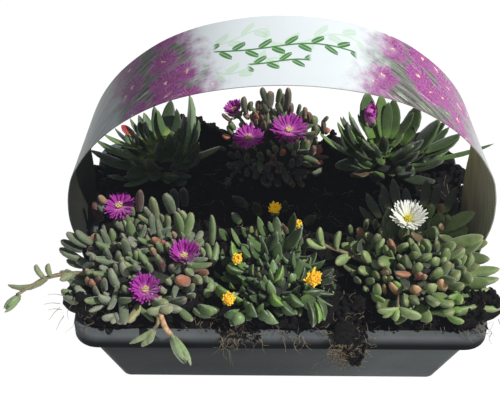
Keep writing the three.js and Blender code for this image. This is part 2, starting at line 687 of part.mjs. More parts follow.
// Single leaves that stand out from the mounds: root, tip, width, sag and kind
const FEATURE_LEAVES = {
  front_left: [
    [-138, -54, 96, -167, -50, 115, 6, 3, 'finger'], [-136, -50, 98, -160, -46, 124, 6, 3, 'finger'],
    [-112, -44, 108, -124, -37, 122, 7.5, 4, 'finger'], [-106, -46, 107, -101, -46, 120, 7.5, 4, 'finger'],
    [-93, -34, 100, -94.7, -22, 130, 7, 2, 'finger'], [-86, -32, 98, -85.6, -18, 128, 7, 2, 'finger'],
    [-74, -30, 96, -68, -17, 119, 6.5, 2, 'finger'],
    [-112, -90, 88, -121, -110, 84, 8, 3, 'oval'], [-104, -90, 88, -106, -112, 90, 8, 3, 'oval'],
  ],
  back_centre: [
    [-10, 74, 124, -14, 76, 157, 8, 2, 'finger'], [3, 74, 124, 6, 76, 157, 6.5, 2, 'finger'],
    [-3, 74, 124, -2, 78, 152, 6.5, 1, 'finger'], [-20, 72, 114, -27, 74, 149, 6.5, 2, 'finger'],
    [13, 74, 114, 18, 78, 140, 6, 2, 'finger'], [20, 72, 106, 27, 78, 133, 6, 2, 'finger'],
    [24, 70, 100, 37, 76, 127, 6, 3, 'finger'], [22, 58, 94, 34, 46, 104, 6.5, 3, 'finger'],
  ],
  front_centre: [
    [-22, -52, 96, -34, -50, 112, 9, 5, 'narrow'], [-24, -80, 88, -28, -90, 98, 9, 5, 'narrow'],
    [-4, -40, 94, -3, -30, 118, 7, 2, 'narrow'], [8, -40, 94, 14, -28, 116, 7, 2, 'narrow'],
  ],
  front_right: [
    [124, -36, 102, 140, -30, 128, 9, 4, 'oval'], [130, -50, 98, 158, -48, 112, 10, 4, 'oval'],
    [132, -66, 94, 163, -64, 101, 9, 4, 'oval'], [126, -84, 88, 150, -100, 86, 9, 4, 'oval'],
  ],
};

// Trailing stems: points with a radius, then the leaves and buds that they carry
const TRAILS = {
  front_left: [
    {
      points: [
        [-132, -66, 92, 2], [-153, -68, 95, 1.8], [-171, -71, 93, 1.6], [-182, -78, 91, 1.2],
        [-191, -84, 88.5, 1.4],
      ],
      leaves: [
        [-170, -71, 93, -199, -74, 89, 5, 4, 'finger'], [-172, -71, 93, -177, -70, 106, 5, 1, 'finger'],
        [-167, -70, 94, -168, -68, 105, 5, 1, 'finger'], [-188, -83, 88, -201, -95, 81, 6, 0, 'oval'],
        [-150, -68, 95, -160, -76, 96, 5, 1, 'finger'],
      ],
    },
    {
      points: [[-86, -88, 90, 2], [-86, -103, 92, 2.2], [-82, -112.5, 87, 2], [-78, -114.5, 82, 1.8]],
      leaves: [
        [-79, -114, 85, -68, -116.5, 46, 8.5, 0, 'oval'], [-76, -114.5, 70, -66, -118, 57, 5, 0, 'finger'],
        [-85, -108, 91, -107, -116, 74, 6.5, 1, 'oval'], [-85, -109, 90, -97, -118, 72, 6, 1, 'oval'],
        [-86, -98, 93, -78, -104, 100, 9, 2, 'oval'], [-86, -98, 93, -95, -105, 97, 8, 2, 'oval'],
      ],
    },
  ],
  front_right: [
    {
      points: [[62, -52, 92, 2], [48, -46, 96, 1.8], [34, -42, 99, 1.6], [28, -40, 100, 1.4]],
      leaves: [
        [34, -42, 99, 19, -40, 104, 8, 2, 'oval'], [32, -42, 99, 29, -36, 113, 7, 1, 'oval'],
        [42, -44, 98, 44, -38, 111, 7, 1, 'oval'], [52, -48, 95, 40, -58, 97, 7, 1, 'oval'],
      ],
    },
    {
      points: [[84, -88, 88, 1.8], [83, -98, 92, 1.8], [82, -105, 91, 1.8]],
      leaves: [
        [83, -103, 91, 62, -106, 90, 9, 1, 'oval'], [83, -103, 91, 101, -109, 87, 10, 1, 'oval'],
        [82, -103, 91, 81, -113, 84, 8, 1, 'oval'],
      ],
    },
  ],
};

// A point drawn in towards a plant's middle until it is well inside its core
function rooted(point, plant) {
  const away = point.clone().sub(plant.centre);
  const reach = away.clone().divide(plant.core).length();
  return plant.centre.clone().addScaledVector(away, Math.min(ROOT_REACH / reach, 1));
}

// Hand-placed leaves by name: root, tip, width, how far the middle sags, and kind
function featureRows(rows) {
  return rows.map(([bx, by, bz, tx, ty, tz, width, sag, kind]) => ({
    base: vec(bx, by, bz), tip: vec(tx, ty, tz), width, sag, kind,
  }));
}

function rosetteRows(rule, height) {
  return (rule.leaves ?? []).map(([bx, by, tx, ty, tz, width, sag]) => ({
    base: vec(bx, by, height), tip: vec(tx, ty, tz), width, sag, kind: 'lance',
  }));
}

// A hand-placed leaf, sagging away from its plant's middle and down
function handLeaf({ kind, base, tip, width, sag }, middle) {
  const along = tip.clone().sub(base).normalize();
  const outward = vec(tip.x - middle.x, tip.y - middle.y, -DOWNWARD_SAG);
  const away = outward.addScaledVector(along, -outward.dot(along)).normalize();
  return {
    kind, base, tip, width, thick: width * HAND_FLATNESS[kind],
    bulge: away.clone().multiplyScalar(sag), face: away.negate(),
  };
}

const ROOT_REACH = 0.84;
const ROOT_DEPTH = 5;
const ROOT_SPREAD = 2;

// How freely a shoot turns and leans, and its leaves with it
const TURN_WANDER = 0.5;
const AXIS_WANDER = 0.4;
const LEAN_WANDER = 0.35;
const LEAF_BOW = 0.07;
const LEAF_SIZES = [0.88, 1.12];
const SECOND_PAIR_SHARE = 0.86;

// The leaves of a mound, by the golden angle over its dome
function moundLeaves(mound) {
  const draw = seededDraw(mound.seed);
  const leaves = [];
  for (let shoot = 0; shoot < mound.shoots; shoot++) {
    const polar = Math.acos(1 - (1 - Math.cos(mound.reach)) * (shoot + 0.5) / mound.shoots);
    const turn = shoot * GOLDEN_ANGLE + TURN_WANDER * (draw() - 0.5);
    const outward = turnedTo(UP, turnedTo(vec(1, 0, 0), vec(0, 1, 0), turn), polar);
    const seat = outward.clone().multiply(mound.core).add(mound.centre);
    const wander = vec(draw() - 0.5, draw() - 0.5, draw() - 0.5).multiplyScalar(AXIS_WANDER);
    const normal = outward.divide(mound.core).normalize();
    const axis = normal.addScaledVector(UP, mound.lift).add(wander).normalize();
    const [right, forward] = across(axis);
    const spin = Math.PI * draw();
    mound.splay.forEach((splay, pair) => {
      for (const half of [0, 1]) {
        const sideways = turnedTo(right, forward, spin + Math.PI * half + Math.PI / 2 * pair);
        const lean = splay + LEAN_WANDER * (draw() - 0.5);
        const length = mix(...mound.length, draw()) * (pair ? SECOND_PAIR_SHARE : 1);
        const size = mix(...LEAF_SIZES, draw());
        const base = seat.clone().addScaledVector(axis, -ROOT_DEPTH).addScaledVector(sideways, ROOT_SPREAD);
        const face = turnedTo(axis, sideways, lean - Math.PI / 2);
        leaves.push({
          kind: mound.kind, base, tip: base.clone().addScaledVector(turnedTo(axis, sideways, lean), length),
          bulge: face.clone().multiplyScalar(-LEAF_BOW * length), face,
          width: mound.width * size, thick: mound.thick * size,
        });
      }
    });
  }
  return leaves;
}

const PLANT_NAMES = CELLS.map((cell) => cell.name);
const DOWNWARD_SAG = 20;
const HAND_FLATNESS = { finger: 0.9, narrow: 0.5, oval: 0.7, lance: 0.46 };

const plants = Object.fromEntries(PLANT_NAMES.map((name) => {
  const rule = MOUNDS[name] ?? ROSETTES[name];
  const plant = { ...rule, centre: vec(...rule.centre), core: vec(...rule.core) };
  const trails = TRAILS[name] ?? [];
  const onCore = [...featureRows(FEATURE_LEAVES[name] ?? []), ...rosetteRows(rule, plant.centre.z)]
    .map((row) => handLeaf(row, plant.centre));
  const onTrails = featureRows(trails.flatMap((trail) => trail.leaves))
    .map((row) => handLeaf(row, plant.centre));
  plant.fixed = [...onCore.map((leaf) => ({ ...leaf, base: rooted(leaf.base, plant) })), ...onTrails];
  plant.stems = trails.map((trail) => ({
    points: trail.points.map(([x, y, z], k) => (k ? vec(x, y, z) : rooted(vec(x, y, z), plant))),
    radii: trail.points.map((p) => p[3]),
  }));
  return [name, plant];
}));

// Which leaves find room

const BLOOM_ROOM_BELOW = 2.4;
const BLOOM_ROOM_ABOVE = 16;

function inBloom(ball) {
  return BLOOMS.some((bloom) => {
    const away = ball.at.clone().sub(bloom.at);
    const height = away.dot(bloom.axis);
    const radius = Math.sqrt(Math.max(away.lengthSq() - height * height, 0));
    const wide = Math.max(bloom.root + bloom.petal * Math.cos(bloom.cup) + bloom.width / 2, bloom.dish);
    const tall = bloom.petal * Math.sin(bloom.cup) + BLOOM_ROOM_ABOVE;
    const level = height > -BLOOM_ROOM_BELOW - ball.radius && height < tall;
    return level && radius < wide + ball.radius + LEAF_GAP;
  });
}

function inBand(ball) {
  const nearY = ball.at.y > BAND_FRONT_Y - ball.radius - 1 && ball.at.y < BAND_BACK_Y + ball.radius + 1;
  const nearX = Math.abs(Math.abs(ball.at.x) - bandHalfWidth(ball.at.y, ball.at.z)) < ball.radius + 1.5;
  return nearY && nearX;
}

function inTray(ball) {
  return Math.abs(ball.at.x) < RIM_HALF_X + ball.radius + LEAF_GAP
    && Math.abs(ball.at.y) < RIM_HALF_Y + ball.radius + LEAF_GAP
    && ball.at.z < RIM_HEIGHT + ball.radius * 0.6;
}

function inSoil(ball) {
  const within = Math.abs(ball.at.x) < soilHalfX(ball.at.y, Math.sign(ball.at.x))
    && Math.abs(ball.at.y) < soilHalfY(ball.at.x, Math.sign(ball.at.y));
  return within && ball.at.z < soilHeight(ball.at.x, ball.at.y) + ball.radius * 0.4;
}

function inCore(ball, plant) {
  const grown = plant.core.clone().addScalar(ball.radius + LEAF_GAP);
  return ball.at.clone().sub(plant.centre).divide(grown).length() < 1;
}

// Leaves of one plant may lean into each other a little; those of two plants stay apart
function ballsMeet(ball, other, name) {
  const room = other.name === name
    ? OWN_SHARE * (ball.radius + other.radius)
    : ball.radius + other.radius + LEAF_GAP;
  return ball.at.distanceTo(other.at) < room;
}

// Balls along a stem or stalk, for keeping other plants' leaves away from it
function stemBalls(points, radius) {
  return points.slice(1).flatMap((end, k) => Array.from({ length: 7 }, (_, n) => ({
    at: points[k].clone().lerp(end, n / 6), radius: radius + 1.5,
  })));
}

const taken = PLANT_NAMES.flatMap((name) => {
  const plant = plants[name];
  const stalks = BLOOMS.filter((bloom) => bloom.plant === name)
    .flatMap((bloom) => stemBalls([bloom.at.clone().addScaledVector(bloom.axis, -4), plant.centre], 2));
  const stems = plant.stems.flatMap((stem) => stemBalls(stem.points, 2));
  return [...stalks, ...stems, ...plant.fixed.flatMap(leafBalls)].map((ball) => ({ ...ball, name }));
});

function leafHasRoom(leaf, name) {
  const balls = leafBalls(leaf);
  const others = PLANT_NAMES.filter((other) => other !== name).map((other) => plants[other]);
  const near = taken.filter((ball) => ball.at.distanceTo(leaf.tip) < 50);
  const blocked = balls.some((ball) => inBloom(ball) || inBand(ball) || inTray(ball) || inSoil(ball)
    || others.some((plant) => inCore(ball, plant)) || near.some((other) => ballsMeet(ball, other, name)));
  if (!blocked) taken.push(...balls.map((ball) => ({ ...ball, name })));
  return !blocked;
}

for (const name of PLANT_NAMES) {
  const plant = plants[name];
  plant.grown = MOUNDS[name] ? moundLeaves(plant).filter((leaf) => leafHasRoom(leaf, name)) : [];
}

// Building the nodes

const PEG_RADIUS = 5;
const PEG_BOTTOM = 56;
const PEG_SIDES = 8;
const PEG_ABOVE_CENTRE = 7;

function coreSolid(plant) {
  const geometry = new THREE.SphereGeometry(1, 9, 4);
  geometry.rotateX(Math.PI / 2);
  geometry.scale(plant.core.x, plant.core.y, plant.core.z);
  geometry.translate(plant.centre.x, plant.centre.y, plant.centre.z);
  return fromGeometry(geometry);
}

function plantSolid(name) {
  const plant = plants[name];
  const leaves = [...plant.fixed, ...plant.grown].map(leafSolid);
  const stems = plant.stems.map((stem) => stemSolid(stem.points, stem.radii, 5));
  const ownBlooms = BLOOMS.filter((bloom) => bloom.plant === name);
  const stalks = ownBlooms.flatMap((bloom) => calyxAndStalk(bloom, plant));
  const above = cut(join([coreSolid(plant), ...leaves, ...stems, ...stalks]), soilRoom);
  const pegTop = plant.centre.z + PEG_ABOVE_CENTRE;
  const peg = post(plant.centre.x, plant.centre.y, PEG_BOTTOM, pegTop, PEG_RADIUS, PEG_SIDES);
  return mainBody(above.add(peg));
}

function pegHole(plant) {
  return post(
    plant.centre.x, plant.centre.y, PEG_BOTTOM - SOIL_GAP, plant.centre.z + 20,
    PEG_RADIUS + SOIL_GAP, PEG_SIDES,
  );
}

const trayRoom = traySolid(SOIL_GAP);
const bandRoom = bandSolid(SLOT_GAP);
const soilRoom = soilSpaces();

function soilSolid(cell) {
  const fill = soilFill(cell);
  const slab = soilSlab(cell, RIM_HEIGHT + SOIL_GAP + 0.1, 0);
  const parts = cell.name === 'front_right' ? [fill, slab, clumpSolid(0)] : [fill, slab];
  const rooms = [trayRoom, bandRoom, pegHole(plants[cell.name])];
  return mainBody(cut(join(parts), cell.name === 'front_centre' ? [...rooms, clumpSolid(SOIL_GAP)] : rooms));
}

// The soil inside the tray, a plain block that the tray's walls then shape
function soilFill(cell) {
  const half = 0.3;
  const wallX = WALL_TOP_X - 1;
  const wallY = WALL_TOP_Y - 1;
  const ring = (z) => [
    vec(Math.max(cell.column.from + half, -wallX), Math.max(cell.row.from + half, -wallY), z),
    vec(Math.min(cell.column.to - half, wallX), Math.max(cell.row.from + half, -wallY), z),
    vec(Math.min(cell.column.to - half, wallX), Math.min(cell.row.to - half, wallY), z),
    vec(Math.max(cell.column.from + half, -wallX), Math.min(cell.row.to - half, wallY), z),
  ];
  return flatLoft([ring(FLOOR_THICKNESS / 2), ring(RIM_HEIGHT + 0.8)]);
}

// Finishes

const FINISHES = {
  tray: { color: 0x24272b, roughness: 0.45, metalness: 0 },
  soil: { color: 0x1a1512, roughness: 0.98, metalness: 0 },
  band: { color: 0xe6e9ea, roughness: 0.4, metalness: 0 },
  front_left: { color: 0x6f8463, roughness: 0.6, metalness: 0 },
  front_centre: { color: 0x3f6b3c, roughness: 0.45, metalness: 0 },
  front_right: { color: 0x7f9560, roughness: 0.55, metalness: 0 },
  back_left: { color: 0x47683f, roughness: 0.5, metalness: 0 },
  back_centre: { color: 0x66604a, roughness: 0.6, metalness: 0 },
  back_right: { color: 0x4a6b3d, roughness: 0.5, metalness: 0 },
  magenta: { color: 0xb01fb0, roughness: 0.5, metalness: 0 },
  white: { color: 0xf4f3ea, roughness: 0.55, metalness: 0 },
  yellow: { color: 0xf4bd12, roughness: 0.55, metalness: 0 },
  cream: { color: 0xf2e08a, roughness: 0.7, metalness: 0 },
};

const model = new THREE.Group();

function toGeometry(solid) {
  const { vertProperties, triVerts } = solid.getMesh();
  const geometry = new THREE.BufferGeometry();
  geometry.setAttribute('position', new THREE.BufferAttribute(vertProperties, 3));
  geometry.setIndex(new THREE.BufferAttribute(triVerts, 1));
  return geometry;
}

// One named mesh, with points closer than a micrometre merged and what that cuts off left out
function addNode(name, solid, finish) {
  const geometry = toGeometry(mainBody(fromGeometry(toGeometry(solid))));
  geometry.computeVertexNormals();
  const mesh = new THREE.Mesh(geometry, new THREE.MeshStandardMaterial(FINISHES[finish]));
  mesh.name = name;
  model.add(mesh);
}

addNode('tray', cut(traySolid(0), [...drainHoles(), bandRoom]), 'tray');
addNode('carry_band', bandSolid(0), 'band');
for (const cell of CELLS) addNode(`soil_${cell.name}`, soilSolid(cell), 'soil');
for (const name of PLANT_NAMES) addNode(`plant_${name}`, plantSolid(name), name);
for (const bloom of BLOOMS) {
  addNode(`petals_${bloom.name}`, petalSolid(bloom), bloom.colour);
  if (bloom.kind === 'open') {
    const eyeColour = bloom.colour === 'white' ? 'yellow' : 'cream';
    addNode(`centre_${bloom.name}`, centreSolid(bloom, 0), eyeColour);
  }
}

export default model;
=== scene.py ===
# A tray of flowering trailing ice plants under an arched carry band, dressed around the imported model.
# Shapes are worked out in millimetres and put into their meshes in metres.

import math

import bpy
import numpy as np
from mathutils import Matrix, Vector


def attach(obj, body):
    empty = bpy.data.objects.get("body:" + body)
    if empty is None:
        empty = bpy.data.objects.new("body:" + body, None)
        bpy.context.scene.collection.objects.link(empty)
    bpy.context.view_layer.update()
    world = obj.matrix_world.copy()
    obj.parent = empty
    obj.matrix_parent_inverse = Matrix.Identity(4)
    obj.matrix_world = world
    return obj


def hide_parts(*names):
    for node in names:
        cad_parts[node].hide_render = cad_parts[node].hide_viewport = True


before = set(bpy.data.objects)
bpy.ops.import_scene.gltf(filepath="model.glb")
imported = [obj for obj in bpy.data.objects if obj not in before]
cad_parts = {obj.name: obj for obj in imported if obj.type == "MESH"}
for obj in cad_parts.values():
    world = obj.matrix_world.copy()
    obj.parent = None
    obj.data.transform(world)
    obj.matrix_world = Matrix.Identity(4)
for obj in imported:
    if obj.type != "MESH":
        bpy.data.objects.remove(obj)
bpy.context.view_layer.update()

millimetre = 0.001
goldenAngle = math.pi * (3 - math.sqrt(5))
up = np.array([0.0, 0.0, 1.0])
right = np.array([1.0, 0.0, 0.0])


def linked(name, data):  # a new object of the scene
    made = bpy.data.objects.new(name, data)
    bpy.context.scene.collection.objects.link(made)
    return made


# The camera, which looks down at the tray from the front

view = dict(place=(-0.023, -0.654, 0.6958), tilt=48, roll=0.43, lens=82.8)

cameraData = bpy.data.cameras.new("camera")
cameraData.lens = view["lens"]
cameraData.sensor_width = 36
camera = linked("camera", cameraData)
camera.matrix_world = (
    Matrix.Translation(view["place"])
    @ Matrix.Rotation(math.radians(view["tilt"]), 4, "X")
    @ Matrix.Rotation(math.radians(view["roll"]), 4, "Z")
)
bpy.context.scene.camera = camera
print("camera placed")


# Small tools for vectors

def unit(vectors):  # each vector over its length
    return vectors / np.linalg.norm(vectors, axis=-1, keepdims=True)


def mix(a, b, share):  # a + (b - a) share
    return a + (b - a) * share


def turnedTo(start, end, angle):  # start cos(angle) + end sin(angle)
    return start * math.cos(angle) + end * math.sin(angle)


def turnsOf(count):  # even turns round a circle: 2 pi k / count
    return np.arange(count) * 2 * math.pi / count


def squareTo(axis):  # two directions square to an axis, the first one close to +X
    side = unit(right - axis * axis[0])
    return side, np.cross(axis, side)


def seededDraw(seed):  # the repeatable numbers between 0 and 1 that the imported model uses
    state = seed

    def draw():
        nonlocal state
        state = (state * 1664525 + 1013904223) & 0xFFFFFFFF
        return state / 4294967296
    return draw


def srgb(red, green, blue):  # a screen colour of 0 to 255 as the linear colour that a shader takes
    share = np.array([red, green, blue]) / 255
    linear = np.where(share <= 0.04045, share / 12.92, ((share + 0.055) / 1.055) ** 2.4)
    return (*[float(v) for v in linear], 1.0)


# Smooth random height at points x, y: a lattice of random values, eased between its corners
def lattice(x, y, cell, seed):
    table = np.random.default_rng(seed).random((257, 257)) * 2 - 1
    u, v = np.asarray(x) / cell + 1000, np.asarray(y) / cell + 1000
    i, j = np.floor(u).astype(int), np.floor(v).astype(int)
    a, b = u - i, v - j
    a, b = a * a * (3 - 2 * a), b * b * (3 - 2 * b)
    at = lambda di, dj: table[(i + di) % 257, (j + dj) % 257]
    return mix(mix(at(0, 0), at(1, 0), a), mix(at(0, 1), at(1, 1), a), b)


# A smooth path through points: Catmull and Rom's curve, with a number of steps to each span
def smoothPath(points, steps):
    points = np.asarray(points, float)
    padded = np.vstack([2 * points[0] - points[1], points, 2 * points[-1] - points[-2]])
    t = (np.arange(steps) / steps)[None, :, None]
    p0, p1, p2, p3 = [padded[k:len(padded) - 3 + k, None, :] for k in range(4)]
    curve = 0.5 * (2 * p1 + (p2 - p0) * t + (2 * p0 - 5 * p1 + 4 * p2 - p3) * t ** 2
                   + (3 * p1 - p0 - 3 * p2 + p3) * t ** 3)
    return np.vstack([curve.reshape(-1, points.shape[1]), points[-1:]])


# A faint glow painted on every material: painted light that stands in for haze lifting the darkest places
paintedHaze = 0.0066  # light that the air adds to the darkest places


# A shader socket that adds nodes when it is used in a sum
class Wire:
    def __init__(self, paint, socket):
        self.paint, self.socket = paint, socket

    def does(self, operation, other=0.0, first=None):  # one Math node, on this socket and another value
        values = {0: self if first is None else first, 1: other}
        return self.paint.node("Math", dict(operation=operation), values)

    def __add__(self, other):
        return self.does("ADD", other)

    def __sub__(self, other):
        return self.does("SUBTRACT", other)

    def __rsub__(self, other):
        return self.does("SUBTRACT", self, first=other)

    def __mul__(self, other):
        return self.does("MULTIPLY", other)

    def __truediv__(self, other):
        return self.does("DIVIDE", other)

    def __pow__(self, other):
        return self.does("POWER", other)

    __radd__ = __add__
    __rmul__ = __mul__


# A material, whose shader is fed with wires and plain values
class Paint:
    def __init__(self, name, **constants):  # constants are set on the shader's own sockets
        self.material = bpy.data.materials.new(name)
        self.material.use_nodes = True
        self.tree = self.material.node_tree
        self.shader = self.tree.nodes["Principled BSDF"]
        # painted light: every material glows faintly by the haze strength
        self.feed(emissionColor=(0.9, 0.95, 1.15, 1), emissionStrength=paintedHaze)
        self.feed(**constants)

    def feed(self, **values):  # baseColor=... goes to the socket named Base Color
        for name, value in values.items():
            words = "".join(" " + letter if letter.isupper() else letter for letter in name)
            title = "Specular IOR Level" if name == "specular" else words[0].upper() + words[1:]
            self.plug(self.shader.inputs[title], value)

    def plug(self, socket, value):  # a wire, a number, a linear colour or a screen colour of three numbers
        if isinstance(value, Wire):
            self.tree.links.new(value.socket, socket)
        else:
            socket.default_value = srgb(*value) if isinstance(value, tuple) and len(value) == 3 else value

    def node(self, kind, settings, sockets, output=0):  # one node: its settings first, then its sockets
        new = self.tree.nodes.new("ShaderNode" + kind)
        for name, value in settings.items():
            if name == "stops":
                while len(new.color_ramp.elements) < len(value):
                    new.color_ramp.elements.new(1)
                for element, (place, colour) in zip(new.color_ramp.elements, value):
                    element.position, element.color = place, colour
            else:
                setattr(new, name, value)
        for name, value in sockets.items():
            self.plug(new.inputs[name], value)
        return Wire(self, new.outputs[output])

    def places(self):  # Object coordinates, in metres
        return self.node("TexCoord", {}, {}, "Object")

    def noise(self, scale, detail=2, roughness=0.5, vector=None):
        sockets = dict(Vector=vector or self.places(), Scale=scale, Detail=detail, Roughness=roughness)
        return self.node("TexNoise", {}, sockets)

    def attribute(self, name):  # the four values that a mesh carries under a name
        colour = self.node("Attribute", dict(attribute_name=name), {}, "Color")
        split = [self.node("SeparateColor", {}, {0: colour}, k) for k in range(3)]
        return colour, *split, self.node("Attribute", dict(attribute_name=name), {}, "Alpha")

    def blend(self, factor, first, second, how="MIX"):  # first + (second - first) factor, or as how says
        settings = dict(data_type="RGBA", blend_type=how, clamp_factor=True)
        return self.node("Mix", settings, {0: factor, 6: first, 7: second}, 2)

    def layers(self, colour, *coats):  # each coat is a share and the colour laid over those before it
        for share, coat in coats:
            colour = self.blend(share, colour, coat)
        return colour

    def ramp(self, factor, low, high):  # 0 below low, 1 above high, eased between
        settings = dict(interpolation_type="SMOOTHSTEP")
        return self.node("MapRange", settings, {"Value": factor, "From Min": low, "From Max": high})

    def bump(self, height, distance, strength=1.0):  # a normal, as if raised by height * distance
        return self.node("Bump", {}, dict(Height=height, Distance=distance, Strength=strength))


# Shapes gathered for one piece, each batch with its material and two sets of four values for the shader
class Heap:
    def __init__(self):
        self.points, self.faces, self.materials, self.tint, self.place = [], [], [], [], []
        self.count = 0

    # One batch. Its faces are turned round where they point inwards
    def add(self, points, faces, material=0, tint=(0, 0, 0, 0), place=(0, 0, 0, 0)):
        points = np.asarray(points, float).reshape(-1, 3)
        faces = [np.asarray(f) for f in faces if len(f)]
        volume = sum(  # p . (q x r) over the faces' triangles, above 0 where they point outwards
            np.einsum("ij,ij->", points[f[:, 0]], np.cross(points[f[:, k]], points[f[:, k + 1]]))
            for f in faces for k in range(1, f.shape[1] - 1)
        )
        for f in faces:
            f = f if volume > 0 else f[:, ::-1]
            self.faces += (f + self.count).tolist()
            self.materials += [material] * len(f)
        self.points.append(points)
        self.tint.append(np.broadcast_to(tint, (len(points), 4)))
        self.place.append(np.broadcast_to(place, (len(points), 4)))
        self.count += len(points)

    def piece(self, name, paints, slot, nodes, sharpAngle=None):  # one mesh of all batches, on the root body
        mesh = bpy.data.meshes.new(name)
        mesh.from_pydata((np.vstack(self.points) * millimetre).tolist(), [], self.faces)
        mesh.polygons.foreach_set("material_index", self.materials)
        mesh.polygons.foreach_set("use_smooth", [True] * len(self.faces))
        for title, values in (("tint", self.tint), ("place", self.place)):
            layer = mesh.attributes.new(title, "FLOAT_COLOR", "POINT")
            layer.data.foreach_set("color", np.vstack(values).astype(np.float32).ravel())
        for paint in paints:
            mesh.materials.append(paint.material)
        if sharpAngle:
            mesh.set_sharp_from_angle(angle=math.radians(sharpAngle))
        made = linked(name, mesh)
        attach(made, "root")
        if nodes:
            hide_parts(*nodes)
        return made


# Faces of closed skins: rings of points, with one point at each end, laid out one skin after another
def skinFaces(count, rings, around):
    k = np.arange(around)
    nextK = (k + 1) % around
    row = 1 + np.arange(rings - 1)[:, None] * around
    quads = np.stack([row + k, row + nextK, row + nextK + around, row + k + around], -1).reshape(-1, 4)
    last = 1 + (rings - 1) * around
    end = np.full(around, last + around)
    fans = np.vstack([np.stack([0 * k, nextK + 1, k + 1], -1), np.stack([end, last + k, last + nextK], -1)])
    offset = (np.arange(count) * (rings * around + 2))[:, None, None]
    return (quads + offset).reshape(-1, 4), (fans + offset).reshape(-1, 3)


def skinPoints(rings, start, end):  # rings: (count, rings, around, 3); start and end: (count, 3)
    count = len(rings)
    return np.concatenate([start[:, None], rings.reshape(count, -1, 3), end[:, None]], axis=1)


# Tubes along paths: centre + radius (side cos a + normal sin a)
def addTube(heap, path, radii, around=6, material=0, tint=(0, 0, 0, 0), place=(0, 0, 0, 0)):
    path = np.asarray(path, float)
    radii = np.broadcast_to(radii, len(path))[:, None, None]
    along = unit(np.gradient(path, axis=0))
    hint = np.where(np.abs(along[:, 2:]) > 0.9, right, up)
    side = unit(np.cross(along, hint))
    normal = np.cross(side, along)
    angle = turnsOf(around)[None, :, None]
    rings = path[:, None] + radii * (side[:, None] * np.cos(angle) + normal[:, None] * np.sin(angle))
    points = skinPoints(rings[None], path[:1], path[-1:])[0]
    heap.add(points, skinFaces(1, len(path), around), material, tint, place)


# A closed skin over rings (rings, around, 3), with a point in the middle of both end rings
def addLoft(heap, rings, material=0, tint=(0, 0, 0, 0), place=(0, 0, 0, 0)):
    rings = np.asarray(rings, float)
    points = skinPoints(rings[None], rings[0].mean(0)[None], rings[-1].mean(0)[None])[0]
    heap.add(points, skinFaces(1, len(rings), rings.shape[1]), material, tint, place)


# Sizes in millimetres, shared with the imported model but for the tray's wall, which draws in a little more

rim = dict(halfX=150, halfY=110, height=74, corner=18, lip=7, lipThick=1.6, round=2.6, skirt=12.5)
wall = dict(thick=1.6, taper=18, taperX=20, stepX=3.6, stepDepth=14, straightFrom=57.5, footCorner=6,
            footRound=2.6, floor=2, drain=6)
divider = dict(x=45, height=63, ends=8, sections=((1, 2.6), (30, 2), (62, 1.5), (63, 1.2)))
band = dict(frontY=-41, backY=25, thick=0.8, end=60, sag=0.24, sagFrom=200, sagEase=14, outline=np.array([
    [145.7, 145.7, 76], [144.4, 150, 100], [144.4, 153.8, 120], [145, 154, 137], [143.6, 151.8, 153.5],
    [139.8, 146.9, 168.7], [129.3, 133, 191], [113, 113.4, 212.3], [88, 88, 233], [61, 61, 246.2],
    [30, 30, 254], [0, 0, 256.5],
]))  # half width at the back edge and at the front edge, and height
soil = dict(top=83, edge=77.5, corner=26, cornersTo=138, slope=16, base=74.4)
soilLumps = [  # middle, height and radius
    (-62, 100, 20, 13), (-82, 102, 26, 12), (-44, 98, 14, 12), (140, 72, 8, 14), (-150, -86, 7, 16),
    (148, -82, 8, 16), (30, -92, 4, 12), (58, -84, 5, 13), (-140, 60, 6, 14), (60, 104, 8, 16),
]


def bandHalfWidth(y, z):  # between the half widths of the two edges at a height, by the share across the band
    share = np.clip((band["backY"] - y) / (band["backY"] - band["frontY"]), 0, 1)
    back, front, height = band["outline"].T
    return mix(np.interp(z, height, back), np.interp(z, height, front), share)


def soilHalfX(y, side):  # a straight side with bulges over the rim at the front and back corners
    front = np.where(side < 0, 23 * np.exp(-((y + 86) / 26) ** 2), 25 * np.exp(-((y + 86) / 28) ** 2))
    return soil["cornersTo"] + front + 8 * np.exp(-((y - 76) / 26) ** 2)


def soilHalfY(x, side):  # a straight side with a slow wave
    return np.where(side < 0, 100 + 3.5 * np.sin(x / 21 + 1), 103 + 3 * np.sin(x / 17))


def soilHeight(x, y):  # edge height, eased by a root up to a rippled top, with lumps h exp(-(distance / r)^2)
    edgeX = soilHalfX(y, np.sign(x)) - np.abs(x)
    edgeY = soilHalfY(x, np.sign(y)) - np.abs(y)
    inside = np.clip(np.minimum(edgeX, edgeY) / soil["slope"], 0, 1)
    ripple = (2 * np.sin(0.071 * x + 0.8) * np.cos(0.083 * y - 0.4)
              + 1.5 * np.sin(0.19 * x - 0.11 * y) + np.cos(0.27 * y + 0.13 * x + 1.7))
    lumps = sum(h * np.exp(-((x - cx) ** 2 + (y - cy) ** 2) / r ** 2) for cx, cy, h, r in soilLumps)
    return mix(soil["edge"], soil["top"] + ripple, np.sqrt(inside)) + lumps


# Blooms: name with the colour first, plant, kind, middle, axis, length of the petals and how far they are
# cupped, in degrees

